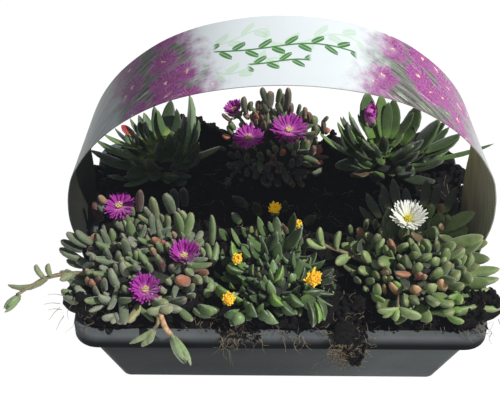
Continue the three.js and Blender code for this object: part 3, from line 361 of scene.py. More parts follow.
bloomKinds = dict(
    open=dict(count=13, root=2.8, width=3.7, dish=4.4),
    brush=dict(count=8, root=2, width=2.6, dish=3.2),
    tube=dict(count=7, root=3.6, width=4.2, dish=4.6),
)
blooms = [
    ("magenta_left", "front_left", "open", (-120.7, -17, 113.8), (-0.08, -0.16, 0.98), 10.8, 8),
    ("magenta_cupped", "front_left", "open", (-70.6, -63.7, 107.6), (0.06, -0.12, 0.99), 12, 42),
    ("magenta_front", "front_left", "open", (-97, -88.9, 99.6), (0.06, -0.42, 0.9), 11.4, 34),
    ("magenta_middle", "back_centre", "open", (-24.2, 56, 121.4), (-0.08, -0.2, 0.98), 11.4, 16),
    ("magenta_right", "back_centre", "open", (7.3, 59, 127.2), (0.05, -0.2, 0.98), 13.6, 17),
    ("magenta_side", "back_centre", "open", (-35, 84, 127), (-0.45, 0.05, 0.89), 8.6, 42),
    ("magenta_bud", "back_right", "tube", (71.8, 70, 129), (0.02, -0.2, 0.98), 14, 80),
    ("white", "front_right", "open", (93.1, -35, 120), (0.02, -0.3, 0.95), 13.4, 35),
    ("yellow_left", "front_centre", "brush", (-32.4, -61.8, 104), (0.1, -0.5, 0.86), 4.8, 62),
    ("yellow_front", "front_centre", "brush", (-38.7, -91.1, 93.5), (0.3, -0.6, 0.74), 6.2, 56),
    ("yellow_right", "front_centre", "brush", (22.1, -79, 101), (0.1, -0.5, 0.86), 8, 50),
    ("yellow_back", "front_centre", "brush", (-3.8, -0.3, 96), (0, -0.3, 0.95), 6.6, 62),
    ("yellow_bud", "front_centre", "brush", (13.5, -16.1, 95), (0.1, -0.3, 0.95), 5, 82),
]
blooms = [
    dict(name=name, plant=plant, kind=kind, colour=name.split("_")[0], at=np.array(at, float),
         axis=unit(np.array(axis, float)), petal=petal, cup=math.radians(cup), **bloomKinds[kind])
    for name, plant, kind, at, axis, petal, cup in blooms
]
dishDepth = 1.2
calyxDepth = 5


# The plants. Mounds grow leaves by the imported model's rule. A rosette's own rows are the leaves that the
# placed ones further down don't stand for: root x and y, tip, width and sag

mounds = dict(
    front_left=dict(centre=(-102, -56, 84), core=(40, 38, 24), shootCount=52, seed=11, kind="finger",
                    length=(20, 27), width=5.6, thick=5, splay=(1.05, 0.5), lift=0.35),
    back_centre=dict(centre=(-2, 72, 84), core=(28, 26, 43), shootCount=38, seed=23, kind="finger",
                     length=(17, 24), width=5, thick=4.6, splay=(0.9, 0.42), lift=0.7),
    front_centre=dict(centre=(-5, -58, 83), core=(31, 36, 16), shootCount=52, seed=37, kind="narrow",
                      length=(19, 26), width=6, thick=3.4, splay=(1.1, 0.55), lift=0.5),
    front_right=dict(centre=(98, -54, 84), core=(40, 40, 25), shootCount=48, seed=53, kind="oval",
                     length=(20, 26), width=8.6, thick=7, splay=(1, 0.5), lift=0.3),
)
rosettes = dict(
    back_left=dict(centre=(-92, 62, 89), core=(12, 11, 8), leaves=[
        (-93, 66, -101, 85, 132, 9, 3), (-84, 58, -80, 54, 121, 7, 3), (-99, 56, -138, 46, 91, 10, 4),
        (-82, 54, -76, 33, 93, 9, 4), (-84, 72, -84, 100, 118, 9, 5),
    ]),
    back_right=dict(centre=(88, 62, 90), core=(13, 12, 8), leaves=[
        (82, 54, 76, 36, 105, 12, 4), (98, 54, 124, 34, 98, 12, 4), (98, 66, 140, 86, 112, 11, 5),
    ]),
)
# Trailing stems: points with radius, leaves with root, tip, width and sag, and buds with foot, tip and width
trails = dict(
    front_left=[
        dict(points=[(-132, -66, 92, 2), (-153, -68, 95, 1.8), (-171, -71, 93, 1.6), (-182, -78, 91, 1.2),
                     (-191, -84, 88.5, 1.4)],
             leaves=[(-170, -71, 93, -199, -74, 89, 5, 4, "finger"),
                     (-172, -71, 93, -177, -70, 106, 5, 1, "finger"),
                     (-167, -70, 94, -168, -68, 105, 5, 1, "finger"),
                     (-150, -68, 95, -160, -76, 96, 5, 1, "finger")],
             buds=[(-188, -83, 88, -200, -94, 82, 5)]),
        dict(points=[(-86, -88, 90, 2.2), (-86, -103, 92, 2.2), (-82, -112.5, 87, 2.3),
                     (-78, -114.5, 82, 1.7)],
             leaves=[(-76, -114.5, 70, -67, -118, 58, 4, 0, "finger"),
                     (-90, -113, 85.5, -108, -117, 74.5, 6, 1, "lance"),
                     (-90, -113, 85, -99, -118, 72.5, 7, 1, "lance"),
                     (-90, -113, 85, -95, -118.5, 76, 5, 1, "oval"),
                     (-86, -98, 93, -78, -104, 100, 9, 2, "oval"),
                     (-86, -98, 93, -95, -105, 97, 8, 2, "oval")],
             buds=[(-78, -114, 82, -66.5, -116.5, 49, 6)], skin="peach"),
        dict(points=[(-86, -98, 92, 1.6), (-87, -109, 90, 1.5), (-91, -113.5, 85, 1.2)]),
    ],
    front_right=[
        dict(points=[(62, -52, 92, 2), (48, -46, 96, 1.8), (34, -42, 99, 1.6), (28, -40, 100, 1.4)],
             leaves=[(34, -42, 99, 19, -40, 104, 8, 2, "oval"), (32, -42, 99, 29, -36, 113, 7, 1, "oval"),
                     (42, -44, 98, 44, -38, 111, 7, 1, "oval"), (52, -48, 95, 40, -58, 97, 7, 1, "oval")]),
        dict(points=[(84, -86, 92, 1.6), (83, -94, 97, 1.6), (82, -101, 95, 1.6)],
             leaves=[(83, -100, 95, 67, -103, 96, 7, 1, "oval"), (83, -100, 95, 99, -105, 92, 9, 1, "oval"),
                     (82, -101, 95, 80, -109, 91, 5, 0.5, "oval"),
                     (80, -100, 96, 71, -106, 92, 5, 1, "oval")]),
    ],
)
# Leaves placed one by one where they can be seen: root, tip and width, by the letter of their leaf colour
placedLeaves = dict(front_left=dict(
    M=[(-136, -14, 96, -142, -4, 108, 6), (-139, -43, 90, -139, -53, 107, 5),
       (-134, -69, 84, -130, -81, 106, 5), (-86, -69, 98, -87, -71, 113, 5)],
    T=[(-130, -20, 121, -135, -20, 128, 4), (-132, -32, 95, -142, -33, 99, 5),
       (-135, -57, 84, -141, -72, 103, 4), (-139, -70, 84, -139, -78, 102, 4),
       (-93, -55, 102, -94, -61, 115, 4), (-81, -29, 92, -80, -41, 111, 4)],
    s=[(-132, -20, 112, -136, -20, 120, 4), (-81, -20, 111, -86, -20, 130, 7),
       (-72, -32, 93, -65, -25, 96, 5), (-124, -54, 97, -127, -59, 112, 5), (-146, -52, 86, -159, -50, 91, 5),
       (-141, -73, 86, -159, -57, 88, 8), (-128, -75, 84, -126, -83, 106, 5)],
    B=[(-106, -20, 112, -104, -20, 134, 5)],
    g=[(-111, -20, 100, -118, -20, 113, 6), (-111, -20, 108, -111, -20, 117, 4),
       (-74, -27, 94, -79, -20, 113, 6), (-78, -32, 91, -73, -39, 108, 5), (-52, -34, 91, -52, -20, 110, 5),
       (-53, -45, 87, -56, -33, 93, 5), (-106, -58, 103, -110, -66, 115, 4),
       (-91, -70, 100, -104, -62, 115, 5), (-103, -64, 102, -108, -72, 114, 3),
       (-86, -52, 100, -91, -55, 115, 5), (-59, -61, 85, -54, -71, 92, 5), (-55, -65, 86, -49, -67, 86, 5),
       (-51, -70, 86, -46, -73, 86, 5), (-71, -75, 85, -63, -81, 98, 5), (-69, -80, 85, -62, -86, 93, 4),
       (-86, -82, 85, -78, -94, 99, 4), (-63, -94, 86, -50, -100, 86, 5), (-73, -94, 86, -63, -105, 86, 5),
       (-110, -83, 91, -112, -90, 106, 4), (-119, -83, 85, -106, -98, 101, 5),
       (-94, -71, 100, -96, -74, 113, 4), (-104, -78, 97, -105, -84, 110, 4),
       (-141, -63, 85, -151, -67, 93, 5)],
    L=[(-93, -20, 99, -96, -20, 127, 6), (-93, -20, 98, -107, -20, 109, 6), (-86, -22, 96, -85, -20, 110, 5),
       (-88, -20, 97, -90, -20, 110, 4), (-71, -20, 101, -75, -20, 113, 5), (-80, -52, 98, -84, -55, 114, 5),
       (-84, -80, 89, -87, -90, 105, 4), (-80, -74, 92, -82, -85, 107, 4), (-91, -84, 87, -92, -95, 103, 4)],
    S=[(-94, -20, 101, -102, -20, 117, 5), (-64, -31, 93, -59, -24, 97, 5),
       (-109, -27, 96, -126, -20, 104, 7), (-110, -22, 95, -108, -59, 115, 7),
       (-115, -27, 94, -116, -47, 114, 4), (-143, -52, 88, -152, -51, 95, 6),
       (-132, -54, 90, -137, -62, 108, 6), (-124, -64, 96, -130, -74, 108, 5),
       (-138, -85, 86, -149, -76, 90, 9), (-117, -79, 92, -122, -77, 110, 6),
       (-110, -74, 98, -114, -73, 113, 6), (-85, -89, 86, -71, -96, 88, 6), (-87, -97, 85, -93, -102, 95, 6),
       (-119, -100, 86, -128, -103, 86, 5), (-118, -99, 86, -112, -108, 86, 5),
       (-118, -101, 86, -120, -108, 86, 4), (-125, -87, 86, -138, -97, 86, 4),
       (-120, -86, 85, -130, -92, 98, 6), (-124, -78, 84, -126, -92, 101, 3)],
    P=[(-108, -25, 96, -107, -20, 106, 5), (-74, -20, 100, -77, -20, 116, 3),
       (-148, -52, 94, -163, -50, 103, 6), (-142, -50, 106, -156, -50, 119, 6),
       (-138, -50, 108, -149, -50, 121, 5), (-154, -62, 86, -163, -59, 88, 6),
       (-134, -89, 86, -158, -82, 86, 6), (-132, -79, 84, -133, -86, 101, 4),
       (-117, -72, 97, -119, -74, 112, 4), (-117, -61, 100, -117, -64, 114, 5)],
    d=[(-81, 7, 92, -82, 6, 112, 6), (-74, 11, 90, -75, 12, 108, 6), (-136, -32, 95, -130, -36, 108, 5),
       (-119, -51, 100, -121, -55, 114, 5), (-146, -50, 101, -161, -50, 111, 6),
       (-80, -85, 85, -68, -91, 94, 6), (-75, -63, 93, -80, -73, 110, 7), (-74, -62, 92, -70, -67, 108, 5),
       (-146, -51, 86, -135, -69, 107, 4), (-128, -58, 95, -123, -65, 112, 5),
       (-102, -26, 94, -104, -38, 114, 5), (-99, -28, 93, -98, -41, 114, 4)],
    G=[(-73, -28, 93, -67, -20, 112, 7), (-52, -51, 85, -48, -32, 93, 5), (-113, -47, 101, -118, -56, 114, 4),
       (-147, -81, 86, -160, -76, 86, 6), (-106, -69, 101, -112, -74, 113, 5),
       (-104, -63, 102, -105, -64, 115, 4), (-81, -41, 95, -80, -49, 112, 3),
       (-59, -42, 87, -59, -48, 102, 4), (-66, -56, 84, -69, -74, 106, 5), (-65, -61, 85, -59, -77, 97, 6),
       (-54, -71, 86, -49, -74, 86, 6), (-56, -76, 86, -52, -81, 86, 5), (-60, -91, 86, -44, -94, 86, 6),
       (-92, -85, 85, -82, -98, 97, 8), (-145, -75, 86, -154, -67, 86, 5)],
    O=[(-142, -36, 95, -143, -32, 98, 6), (-132, -69, 84, -136, -82, 102, 6),
       (-91, -39, 99, -94, -51, 115, 5), (-69, -65, 84, -75, -82, 106, 8), (-67, -55, 85, -53, -65, 94, 5)],
    R=[(-87, -42, 99, -87, -53, 114, 4), (-65, -40, 87, -62, -45, 104, 4)],
    Y=[(-102, -88, 86, -109, -107, 86, 6)],
), front_centre=dict(
    g=[(-40, -26, 90, -46, -26, 101, 5), (-23, -26, 91, -29, -26, 103, 4), (-41, -49, 85, -43, -33, 88, 5),
       (-16, -51, 94, -25, -42, 100, 4), (-44, -61, 85, -50, -53, 85, 4), (25, -90, 92, 30, -104, 86, 7),
       (24, -84, 92, 37, -92, 88, 6), (2, -94, 95, 9, -105, 93, 8), (-14, -101, 93, -8, -107, 90, 8),
       (-22, -96, 94, -17, -105, 90, 8), (-31, -100, 91, -41, -102, 88, 7), (3, -44, 98, 15, -42, 118, 7)],
    L=[(-30, -30, 87, -37, -26, 102, 3), (-24, -59, 91, -38, -56, 95, 8), (-12, -26, 93, -17, -26, 114, 4),
       (-6, -26, 98, -9, -26, 109, 3), (7, -56, 94, 2, -59, 104, 4), (8, -72, 92, 7, -73, 102, 6),
       (-6, -83, 89, -9, -80, 102, 6), (-37, -63, 84, -44, -65, 89, 4), (-30, -93, 85, -41, -98, 85, 6),
       (-30, -97, 85, -36, -109, 85, 6), (-23, -98, 85, -24, -104, 85, 4), (24, -69, 85, 39, -76, 85, 6),
       (13, -91, 85, 13, -100, 86, 4), (5, -52, 94, 14, -52, 102, 3), (-7, -62, 95, -10, -64, 104, 3),
       (-11, -101, 92, -3, -109, 88, 8), (-29, -102, 90, -33, -109, 86, 7)],
    V=[(-24, -59, 91, -37, -26, 90, 7), (-7, -75, 93, 1, -67, 104, 7), (-23, -73, 89, -28, -75, 98, 4),
       (-27, -85, 85, -46, -68, 85, 8), (-16, -92, 85, -7, -105, 86, 4), (-6, -81, 90, 2, -98, 94, 6),
       (24, -90, 85, 31, -103, 85, 6), (23, -93, 92, 26, -108, 87, 7), (-6, -91, 100, 1, -101, 98, 8),
       (-46, -80, 94, -30, -92, 96, 8), (-28, -63, 97, -36, -52, 112, 7)],
    G=[(-11, -49, 95, -24, -26, 96, 6), (0, -43, 92, 17, -26, 104, 6), (7, -44, 92, 15, -50, 101, 4),
       (17, -56, 89, 22, -53, 99, 4), (-5, -71, 94, -6, -61, 104, 5), (-6, -73, 94, -8, -70, 103, 4),
       (-20, -67, 92, -20, -64, 102, 5), (-12, -76, 92, -12, -75, 102, 4), (-23, -68, 90, -32, -71, 98, 4),
       (-33, -71, 84, -37, -75, 94, 4), (-20, -91, 84, -27, -90, 94, 6), (-24, -92, 85, -30, -96, 85, 4),
       (-18, -97, 84, -13, -96, 95, 4), (-9, -96, 85, -2, -106, 85, 7), (-4, -91, 84, 1, -102, 90, 5),
       (3, -85, 85, 11, -100, 88, 6), (9, -79, 88, 17, -95, 90, 6), (16, -73, 85, 22, -84, 94, 4),
       (20, -74, 85, 33, -82, 85, 4), (20, -80, 85, 31, -90, 85, 6), (18, -87, 85, 23, -108, 85, 6),
       (-13, -57, 95, -16, -59, 103, 5), (-6, -47, 95, -3, -48, 104, 3), (10, -51, 92, 14, -43, 101, 4),
       (2, -82, 89, 5, -93, 96, 4), (-15, -80, 89, -12, -93, 97, 4), (7, -90, 98, 16, -99, 96, 8),
       (-39, -65, 102, -27, -70, 100, 7), (-27, -48, 104, -23, -63, 108, 6),
       (-48, -101, 90, -59, -93, 90, 6)],
    D=[(-8, -35, 90, -16, -32, 100, 4), (7, -26, 95, 10, -26, 118, 5), (3, -42, 93, 10, -45, 102, 4),
       (19, -50, 84, 27, -42, 94, 5), (-15, -75, 91, -19, -78, 101, 6), (-22, -79, 84, -26, -86, 96, 4),
       (-22, -88, 85, -16, -102, 88, 6), (1, -81, 90, 7, -87, 98, 4), (28, -65, 85, 36, -62, 85, 4),
       (31, -53, 85, 40, -50, 86, 4), (22, -52, 84, 31, -54, 93, 4), (23, -66, 85, 32, -74, 87, 4),
       (13, -69, 90, 17, -65, 100, 5), (-8, -53, 95, -12, -55, 104, 5), (-29, -54, 87, -24, -70, 101, 4),
       (-34, -56, 83, -29, -70, 99, 4), (-2, -77, 92, 1, -77, 102, 6), (8, -78, 89, 13, -82, 99, 6),
       (-22, -74, 89, -20, -88, 97, 5), (-12, -85, 86, -9, -97, 95, 4), (34, -68, 85, 42, -71, 85, 4),
       (33, -60, 85, 41, -58, 85, 4), (18, -93, 92, 22, -111, 86, 8), (19, -78, 93, 38, -84, 92, 7),
       (16, -88, 95, 24, -100, 92, 8), (15, -85, 95, 31, -82, 94, 7)],
    P=[(-3, -26, 88, -3, -26, 114, 6), (-25, -75, 85, -28, -81, 97, 3)],
    B=[(5, -26, 96, 2, -26, 106, 3)],
    Y=[(-21, -26, 97, -22, -26, 104, 3), (-17, -26, 93, -17, -26, 102, 3), (-16, -68, 93, -16, -72, 102, 3)],
    d=[(19, -6, 88, 28, -5, 96, 5), (-25, 15, 86, -37, 17, 96, 5), (-30, -6, 88, -37, -7, 100, 5),
       (-15, 3, 88, -20, 3, 102, 5), (4, 5, 90, 4, 3, 104, 4), (26, -71, 95, 38, -77, 97, 6),
       (28, -69, 96, 38, -70, 104, 6)],
), front_right=dict(
    d=[(91, 4, 98, 89, 28, 106, 6), (85, 1, 96, 81, 25, 102, 6), (77, -6, 95, 68, 17, 100, 6),
       (99, -1, 95, 99, 24, 100, 6), (111, 2, 99, 115, 25, 108, 6), (117, -1, 98, 124, 22, 106, 6),
       (127, -2, 97, 137, 20, 104, 6), (125, -9, 93, 139, 11, 98, 6), (76, -13, 92, 62, 8, 94, 5),
       (85, -7, 94, 78, 16, 100, 5), (67, -31, 97, 56, -52, 104, 6), (89, -67, 101, 88, -92, 106, 6),
       (138, -59, 88, 146, -83, 86, 6), (85, -61, 103, 83, -85, 109, 5), (103, -54, 105, 104, -78, 113, 5),
       (100, -70, 100, 100, -95, 104, 5)],
    g=[(83, -24, 109, 80, -24, 122, 6), (65, -24, 99, 65, -24, 110, 5), (72, -24, 100, 71, -24, 110, 4),
       (55, -24, 94, 52, -24, 104, 4), (122, -43, 90, 155, -50, 95, 8), (119, -65, 83, 153, -65, 86, 8)],
    T=[(65, -26, 93, 58, -24, 101, 5), (102, -74, 99, 101, -83, 112, 4), (76, -78, 86, 73, -86, 105, 3),
       (87, -82, 91, 77, -86, 107, 6), (97, -83, 92, 94, -90, 108, 7), (118, -77, 91, 112, -85, 109, 7),
       (73, -65, 95, 76, -78, 110, 4)],
    L=[(74, -28, 91, 63, -36, 106, 6), (73, -51, 96, 75, -48, 113, 7), (84, -50, 102, 91, -56, 117, 6),
       (58, -36, 89, 46, -31, 91, 7), (69, -51, 92, 60, -57, 107, 8), (126, -24, 106, 124, -24, 115, 5),
       (114, -28, 101, 144, -26, 120, 8), (120, -29, 96, 141, -26, 104, 9), (117, -40, 98, 147, -50, 118, 8),
       (116, -47, 100, 127, -52, 112, 7), (114, -60, 101, 117, -68, 113, 6),
       (111, -64, 101, 109, -69, 115, 7), (97, -72, 100, 98, -74, 115, 6), (120, -70, 83, 154, -72, 86, 8),
       (70, -60, 92, 56, -69, 102, 7), (77, -72, 93, 74, -81, 108, 4), (79, -73, 94, 78, -82, 109, 4),
       (70, -79, 84, 69, -85, 104, 6), (65, -68, 85, 60, -84, 97, 4), (107, -80, 94, 105, -89, 108, 8),
       (124, -81, 83, 158, -91, 86, 8), (111, -41, 93, 142, -50, 108, 8), (134, -36, 93, 137, -44, 105, 5)],
    R=[(84, -45, 101, 80, -53, 115, 7), (95, -70, 101, 81, -80, 110, 6), (99, -74, 99, 98, -81, 112, 5)],
    B=[(83, -50, 101, 82, -58, 115, 4), (110, -32, 97, 95, -47, 117, 6), (118, -24, 116, 119, -24, 126, 5),
       (130, -23, 101, 117, -33, 112, 6), (121, -50, 97, 133, -53, 109, 6)],
    G=[(80, -52, 100, 76, -57, 114, 6), (82, -54, 101, 79, -61, 114, 4), (84, -55, 102, 70, -71, 110, 8),
       (92, -61, 103, 84, -67, 115, 6), (101, -50, 103, 93, -52, 117, 6), (106, -54, 103, 104, -53, 117, 8),
       (109, -24, 95, 114, -41, 114, 8), (116, -24, 101, 120, -24, 116, 7), (111, -24, 112, 111, -24, 126, 5),
       (118, -46, 91, 147, -50, 115, 9), (121, -40, 96, 151, -50, 112, 8), (132, -50, 87, 139, -57, 105, 9),
       (100, -59, 103, 106, -67, 116, 8), (108, -74, 98, 113, -76, 112, 9), (120, -66, 96, 126, -79, 107, 9),
       (117, -58, 86, 151, -57, 89, 8), (128, -56, 88, 162, -56, 91, 8), (127, -63, 85, 161, -63, 88, 8),
       (56, -59, 85, 52, -66, 98, 4), (120, -73, 91, 130, -84, 102, 7), (115, -71, 83, 149, -77, 86, 8),
       (108, -80, 93, 122, -97, 95, 10), (107, -93, 83, 141, -89, 86, 8), (116, -92, 85, 121, -100, 91, 8),
       (64, -64, 84, 66, -80, 104, 5), (56, -59, 84, 57, -77, 99, 5)],
    D=[(93, -35, 100, 90, -42, 116, 7), (129, -29, 94, 115, -46, 115, 5), (113, -49, 101, 112, -53, 116, 6),
       (96, -59, 103, 96, -64, 116, 6), (126, -57, 93, 132, -73, 106, 6), (112, -52, 88, 146, -59, 97, 8),
       (77, -68, 96, 76, -75, 111, 6), (71, -67, 91, 68, -76, 107, 6), (105, -51, 103, 101, -58, 117, 3),
       (90, -66, 101, 84, -74, 113, 5), (119, -63, 98, 122, -73, 111, 6)],
    Y=[(131, -24, 102, 132, -24, 113, 4)],
    V=[(88, -80, 94, 80, -86, 108, 6), (66, -76, 85, 73, -95, 98, 6), (122, -74, 86, 128, -94, 95, 7),
       (122, -90, 86, 128, -97, 89, 6), (119, -99, 86, 130, -104, 86, 6), (128, -74, 84, 118, -94, 101, 5)],
), back_left=dict(
    P=[(-79, 61, 100, -71, 66, 158, 10), (-109, 61, 102, -126, 70, 112, 3)],
    G=[(-77, 61, 100, -64, 61, 137, 7), (-88, 61, 110, -96, 65, 143, 5), (-97, 61, 115, -98, 66, 144, 5),
       (-97, 61, 108, -109, 80, 129, 6), (-106, 61, 113, -120, 76, 126, 4), (-99, 61, 95, -122, 72, 118, 8),
       (-117, 61, 97, -148, 70, 108, 6), (-96, 58, 88, -128, 56, 92, 5), (-99, 54, 88, -124, 34, 90, 6),
       (-80, 61, 94, -46, 60, 111, 6), (-89, 60, 88, -74, 64, 92, 5), (-89, 61, 89, -76, 70, 96, 5)],
    D=[(-83, 61, 103, -76, 70, 136, 5), (-92, 61, 120, -87, 85, 138, 7), (-103, 61, 114, -113, 78, 128, 5),
       (-83, 61, 98, -81, 70, 121, 5), (-95, 61, 93, -96, 53, 121, 6), (-110, 61, 108, -135, 89, 106, 5),
       (-124, 61, 91, -152, 62, 104, 6), (-103, 60, 88, -145, 57, 99, 8), (-103, 61, 91, -133, 70, 97, 7),
       (-103, 56, 88, -124, 39, 95, 5), (-89, 55, 88, -70, 44, 92, 6), (-90, 61, 94, -88, 56, 126, 7),
       (-98, 61, 90, -116, 70, 99, 5), (-91, 60, 88, -88, 69, 92, 6), (-96, 56, 88, -101, 34, 96, 5),
       (-93, 56, 88, -88, 35, 92, 5), (-101, 61, 95, -117, 70, 112, 5), (-91, 59, 88, -83, 55, 92, 4)],
    L=[(-98, 61, 99, -111, 93, 105, 7), (-92, 61, 100, -94, 70, 123, 5), (-88, 61, 103, -82, 70, 119, 4),
       (-113, 61, 107, -142, 73, 112, 5), (-112, 61, 98, -140, 70, 103, 6), (-94, 59, 88, -96, 62, 92, 3)],
    M=[(-86, 58, 88, -72, 52, 92, 4)],
    R=[(-117, 70, 114, -127, 73, 121, 6)],
), back_centre=dict(
    d=[(-8, 78, 138, -14, 78, 156, 5), (1, 78, 131, -2, 78, 141, 4), (-13, 57, 99, -15, 46, 117, 4),
       (-30, 75, 87, -33, 59, 107, 4), (-24, 67, 89, -25, 50, 111, 4), (-35, 73, 88, -41, 74, 93, 4),
       (-43, 74, 95, -48, 75, 98, 3), (10, 56, 94, 10, 44, 112, 4), (15, 60, 92, 16, 46, 111, 4),
       (0, 52, 93, 0, 42, 110, 4), (-9, 53, 91, -9, 42, 109, 4), (-18, 58, 86, -19, 45, 106, 4),
       (-31, 58, 85, -34, 56, 93, 4), (-37, 61, 86, -41, 70, 86, 4), (-38, 47, 86, -43, 49, 86, 4),
       (-35, 56, 86, -38, 50, 86, 4), (-17, 57, 87, -19, 42, 93, 4), (-7, 53, 90, -6, 38, 95, 4),
       (4, 53, 90, 6, 39, 94, 4), (14, 55, 86, 17, 43, 90, 4), (18, 58, 85, 21, 46, 91, 4),
       (-25, 63, 85, -25, 46, 92, 4), (-12, 52, 86, -12, 39, 89, 4), (9, 48, 86, 12, 40, 86, 4),
       (16, 47, 86, 20, 40, 86, 4), (-30, 50, 86, -31, 42, 86, 4), (-39, 45, 86, -44, 40, 86, 4),
       (-1, 49, 86, -1, 38, 88, 4)],
    s=[(-8, 78, 136, -7, 78, 152, 6), (2, 78, 139, 2, 78, 150, 4), (5, 78, 133, 6, 78, 156, 5),
       (-26, 78, 130, -28, 78, 147, 5), (-9, 78, 133, -12, 78, 144, 6)],
    g=[(-2, 78, 141, 0, 78, 155, 4), (-23, 78, 133, -22, 78, 142, 4), (14, 78, 130, 16, 78, 140, 3),
       (35, 78, 122, 39, 78, 128, 3), (28, 78, 109, 30, 78, 119, 7), (27, 56, 86, 36, 64, 86, 3),
       (-2, 58, 108, -4, 47, 123, 4)],
    B=[(-17, 78, 133, -16, 78, 143, 4), (8, 78, 128, 8, 78, 141, 5), (24, 78, 121, 23, 78, 132, 4),
       (35, 77, 110, 35, 78, 124, 4), (-38, 78, 122, -46, 78, 130, 3), (-12, 79, 120, -14, 67, 137, 4),
       (-12, 80, 113, -12, 61, 136, 4), (26, 78, 109, 31, 71, 110, 3)],
    L=[(4, 78, 131, -1, 78, 144, 4), (-37, 78, 109, -41, 78, 118, 4), (-9, 71, 116, -9, 68, 139, 3),
       (17, 69, 102, 20, 58, 123, 3), (10, 62, 106, 8, 50, 125, 4), (11, 60, 103, 11, 47, 118, 3),
       (-7, 57, 105, -9, 46, 119, 3)],
    T=[(19, 78, 125, 20, 78, 137, 4), (-18, 79, 116, -18, 66, 134, 3), (-29, 78, 116, -30, 78, 122, 3),
       (-21, 79, 115, -22, 66, 131, 3), (-24, 78, 125, -28, 78, 131, 4)],
    G=[(27, 78, 117, 27, 78, 128, 6), (-35, 78, 114, -40, 78, 122, 4), (16, 66, 99, 23, 58, 119, 6),
       (12, 62, 104, 14, 52, 123, 4), (28, 76, 99, 30, 68, 112, 3)],
    O=[(37, 77, 111, 40, 78, 116, 4), (-39, 77, 105, -46, 78, 108, 4), (-18, 79, 123, -18, 72, 135, 4)],
    M=[(21, 75, 89, 28, 60, 111, 6), (-4, 54, 99, -5, 44, 116, 4)],
    R=[(27, 72, 90, 35, 74, 99, 5), (23, 69, 86, 37, 70, 87, 6), (2, 57, 106, 3, 46, 120, 4)],
), back_right=dict(
    G=[(75, 61, 119, 69, 82, 150, 12), (91, 61, 118, 90, 76, 148, 7), (85, 61, 119, 86, 74, 146, 6),
       (91, 61, 119, 106, 70, 139, 6), (97, 61, 114, 111, 78, 140, 11), (70, 61, 109, 48, 70, 134, 5),
       (69, 61, 117, 61, 95, 114, 8), (98, 61, 97, 127, 66, 135, 14), (114, 61, 113, 132, 66, 135, 6),
       (113, 61, 106, 145, 63, 123, 8), (91, 61, 91, 99, 70, 99, 8)],
    L=[(84, 61, 118, 80, 78, 151, 8), (88, 61, 112, 92, 102, 119, 8), (88, 61, 112, 99, 103, 119, 6),
       (79, 61, 109, 71, 70, 130, 8), (81, 61, 111, 86, 70, 123, 9), (83, 61, 106, 94, 70, 112, 6),
       (105, 61, 93, 141, 70, 107, 10), (115, 61, 96, 171, 56, 119, 4), (94, 61, 89, 102, 65, 93, 4)],
    P=[(88, 61, 111, 98, 70, 127, 9), (83, 61, 107, 65, 52, 125, 8)],
    V=[(72, 61, 107, 56, 70, 126, 6), (67, 61, 104, 46, 67, 131, 6), (63, 61, 100, 32, 64, 122, 5),
       (67, 61, 121, 58, 98, 118, 5), (73, 61, 120, 62, 70, 137, 4), (89, 61, 93, 78, 70, 99, 10)],
    D=[(66, 61, 118, 53, 95, 115, 6), (83, 61, 101, 104, 70, 116, 8), (89, 61, 101, 114, 53, 125, 8),
       (96, 61, 89, 132, 51, 105, 9), (74, 61, 98, 44, 41, 106, 9), (93, 61, 89, 91, 46, 93, 7),
       (95, 61, 89, 103, 33, 105, 7), (85, 61, 97, 71, 70, 98, 6), (93, 61, 96, 110, 45, 120, 8),
       (90, 61, 90, 83, 62, 93, 6), (79, 61, 100, 60, 46, 118, 6), (99, 61, 90, 121, 56, 93, 7),
       (81, 61, 108, 74, 70, 123, 5), (84, 61, 104, 83, 54, 128, 6)],
    B=[(80, 61, 89, 57, 45, 93, 6), (102, 61, 109, 124, 70, 119, 8)],
))

plantNames = ["front_left", "front_centre", "front_right", "back_left", "back_centre", "back_right"]
growth = dict(rootReach=0.84, rootDepth=5, rootSpread=2, turnWander=0.5, axisWander=0.4, leanWander=0.35,
              bow=0.07, sizes=(0.88, 1.12), secondPair=0.86, reach=1.5, shootBelow=9, shootAbove=3)
placed = dict(sag=0.05, droop=20, trailColour="L",
              flatness=dict(finger=0.9, narrow=0.5, oval=0.7, lance=0.46),
              width=dict(front_left=1.2, front_centre=1.3, front_right=1.2, back_left=1.4, back_centre=1.3,
                         back_right=1.4))


def rooted(point, plant):  # a point drawn in towards the plant's middle until it is well inside its core
    away = point - plant["centre"]
    reach = np.linalg.norm(away / plant["core"])
    return plant["centre"] + away * min(growth["rootReach"] / reach, 1)


def handLeaf(base, tip, width, sag, kind, middle):  # a placed leaf that sags away from its plant's middle
    along = unit(tip - base)
    outward = np.array([tip[0] - middle[0], tip[1] - middle[1], -placed["droop"]])
    away = unit(outward - along * outward.dot(along))
    return dict(kind=kind, base=base, tip=tip, width=width, thick=width * placed["flatness"][kind],
                bulge=away * sag, face=-away, colour=None)


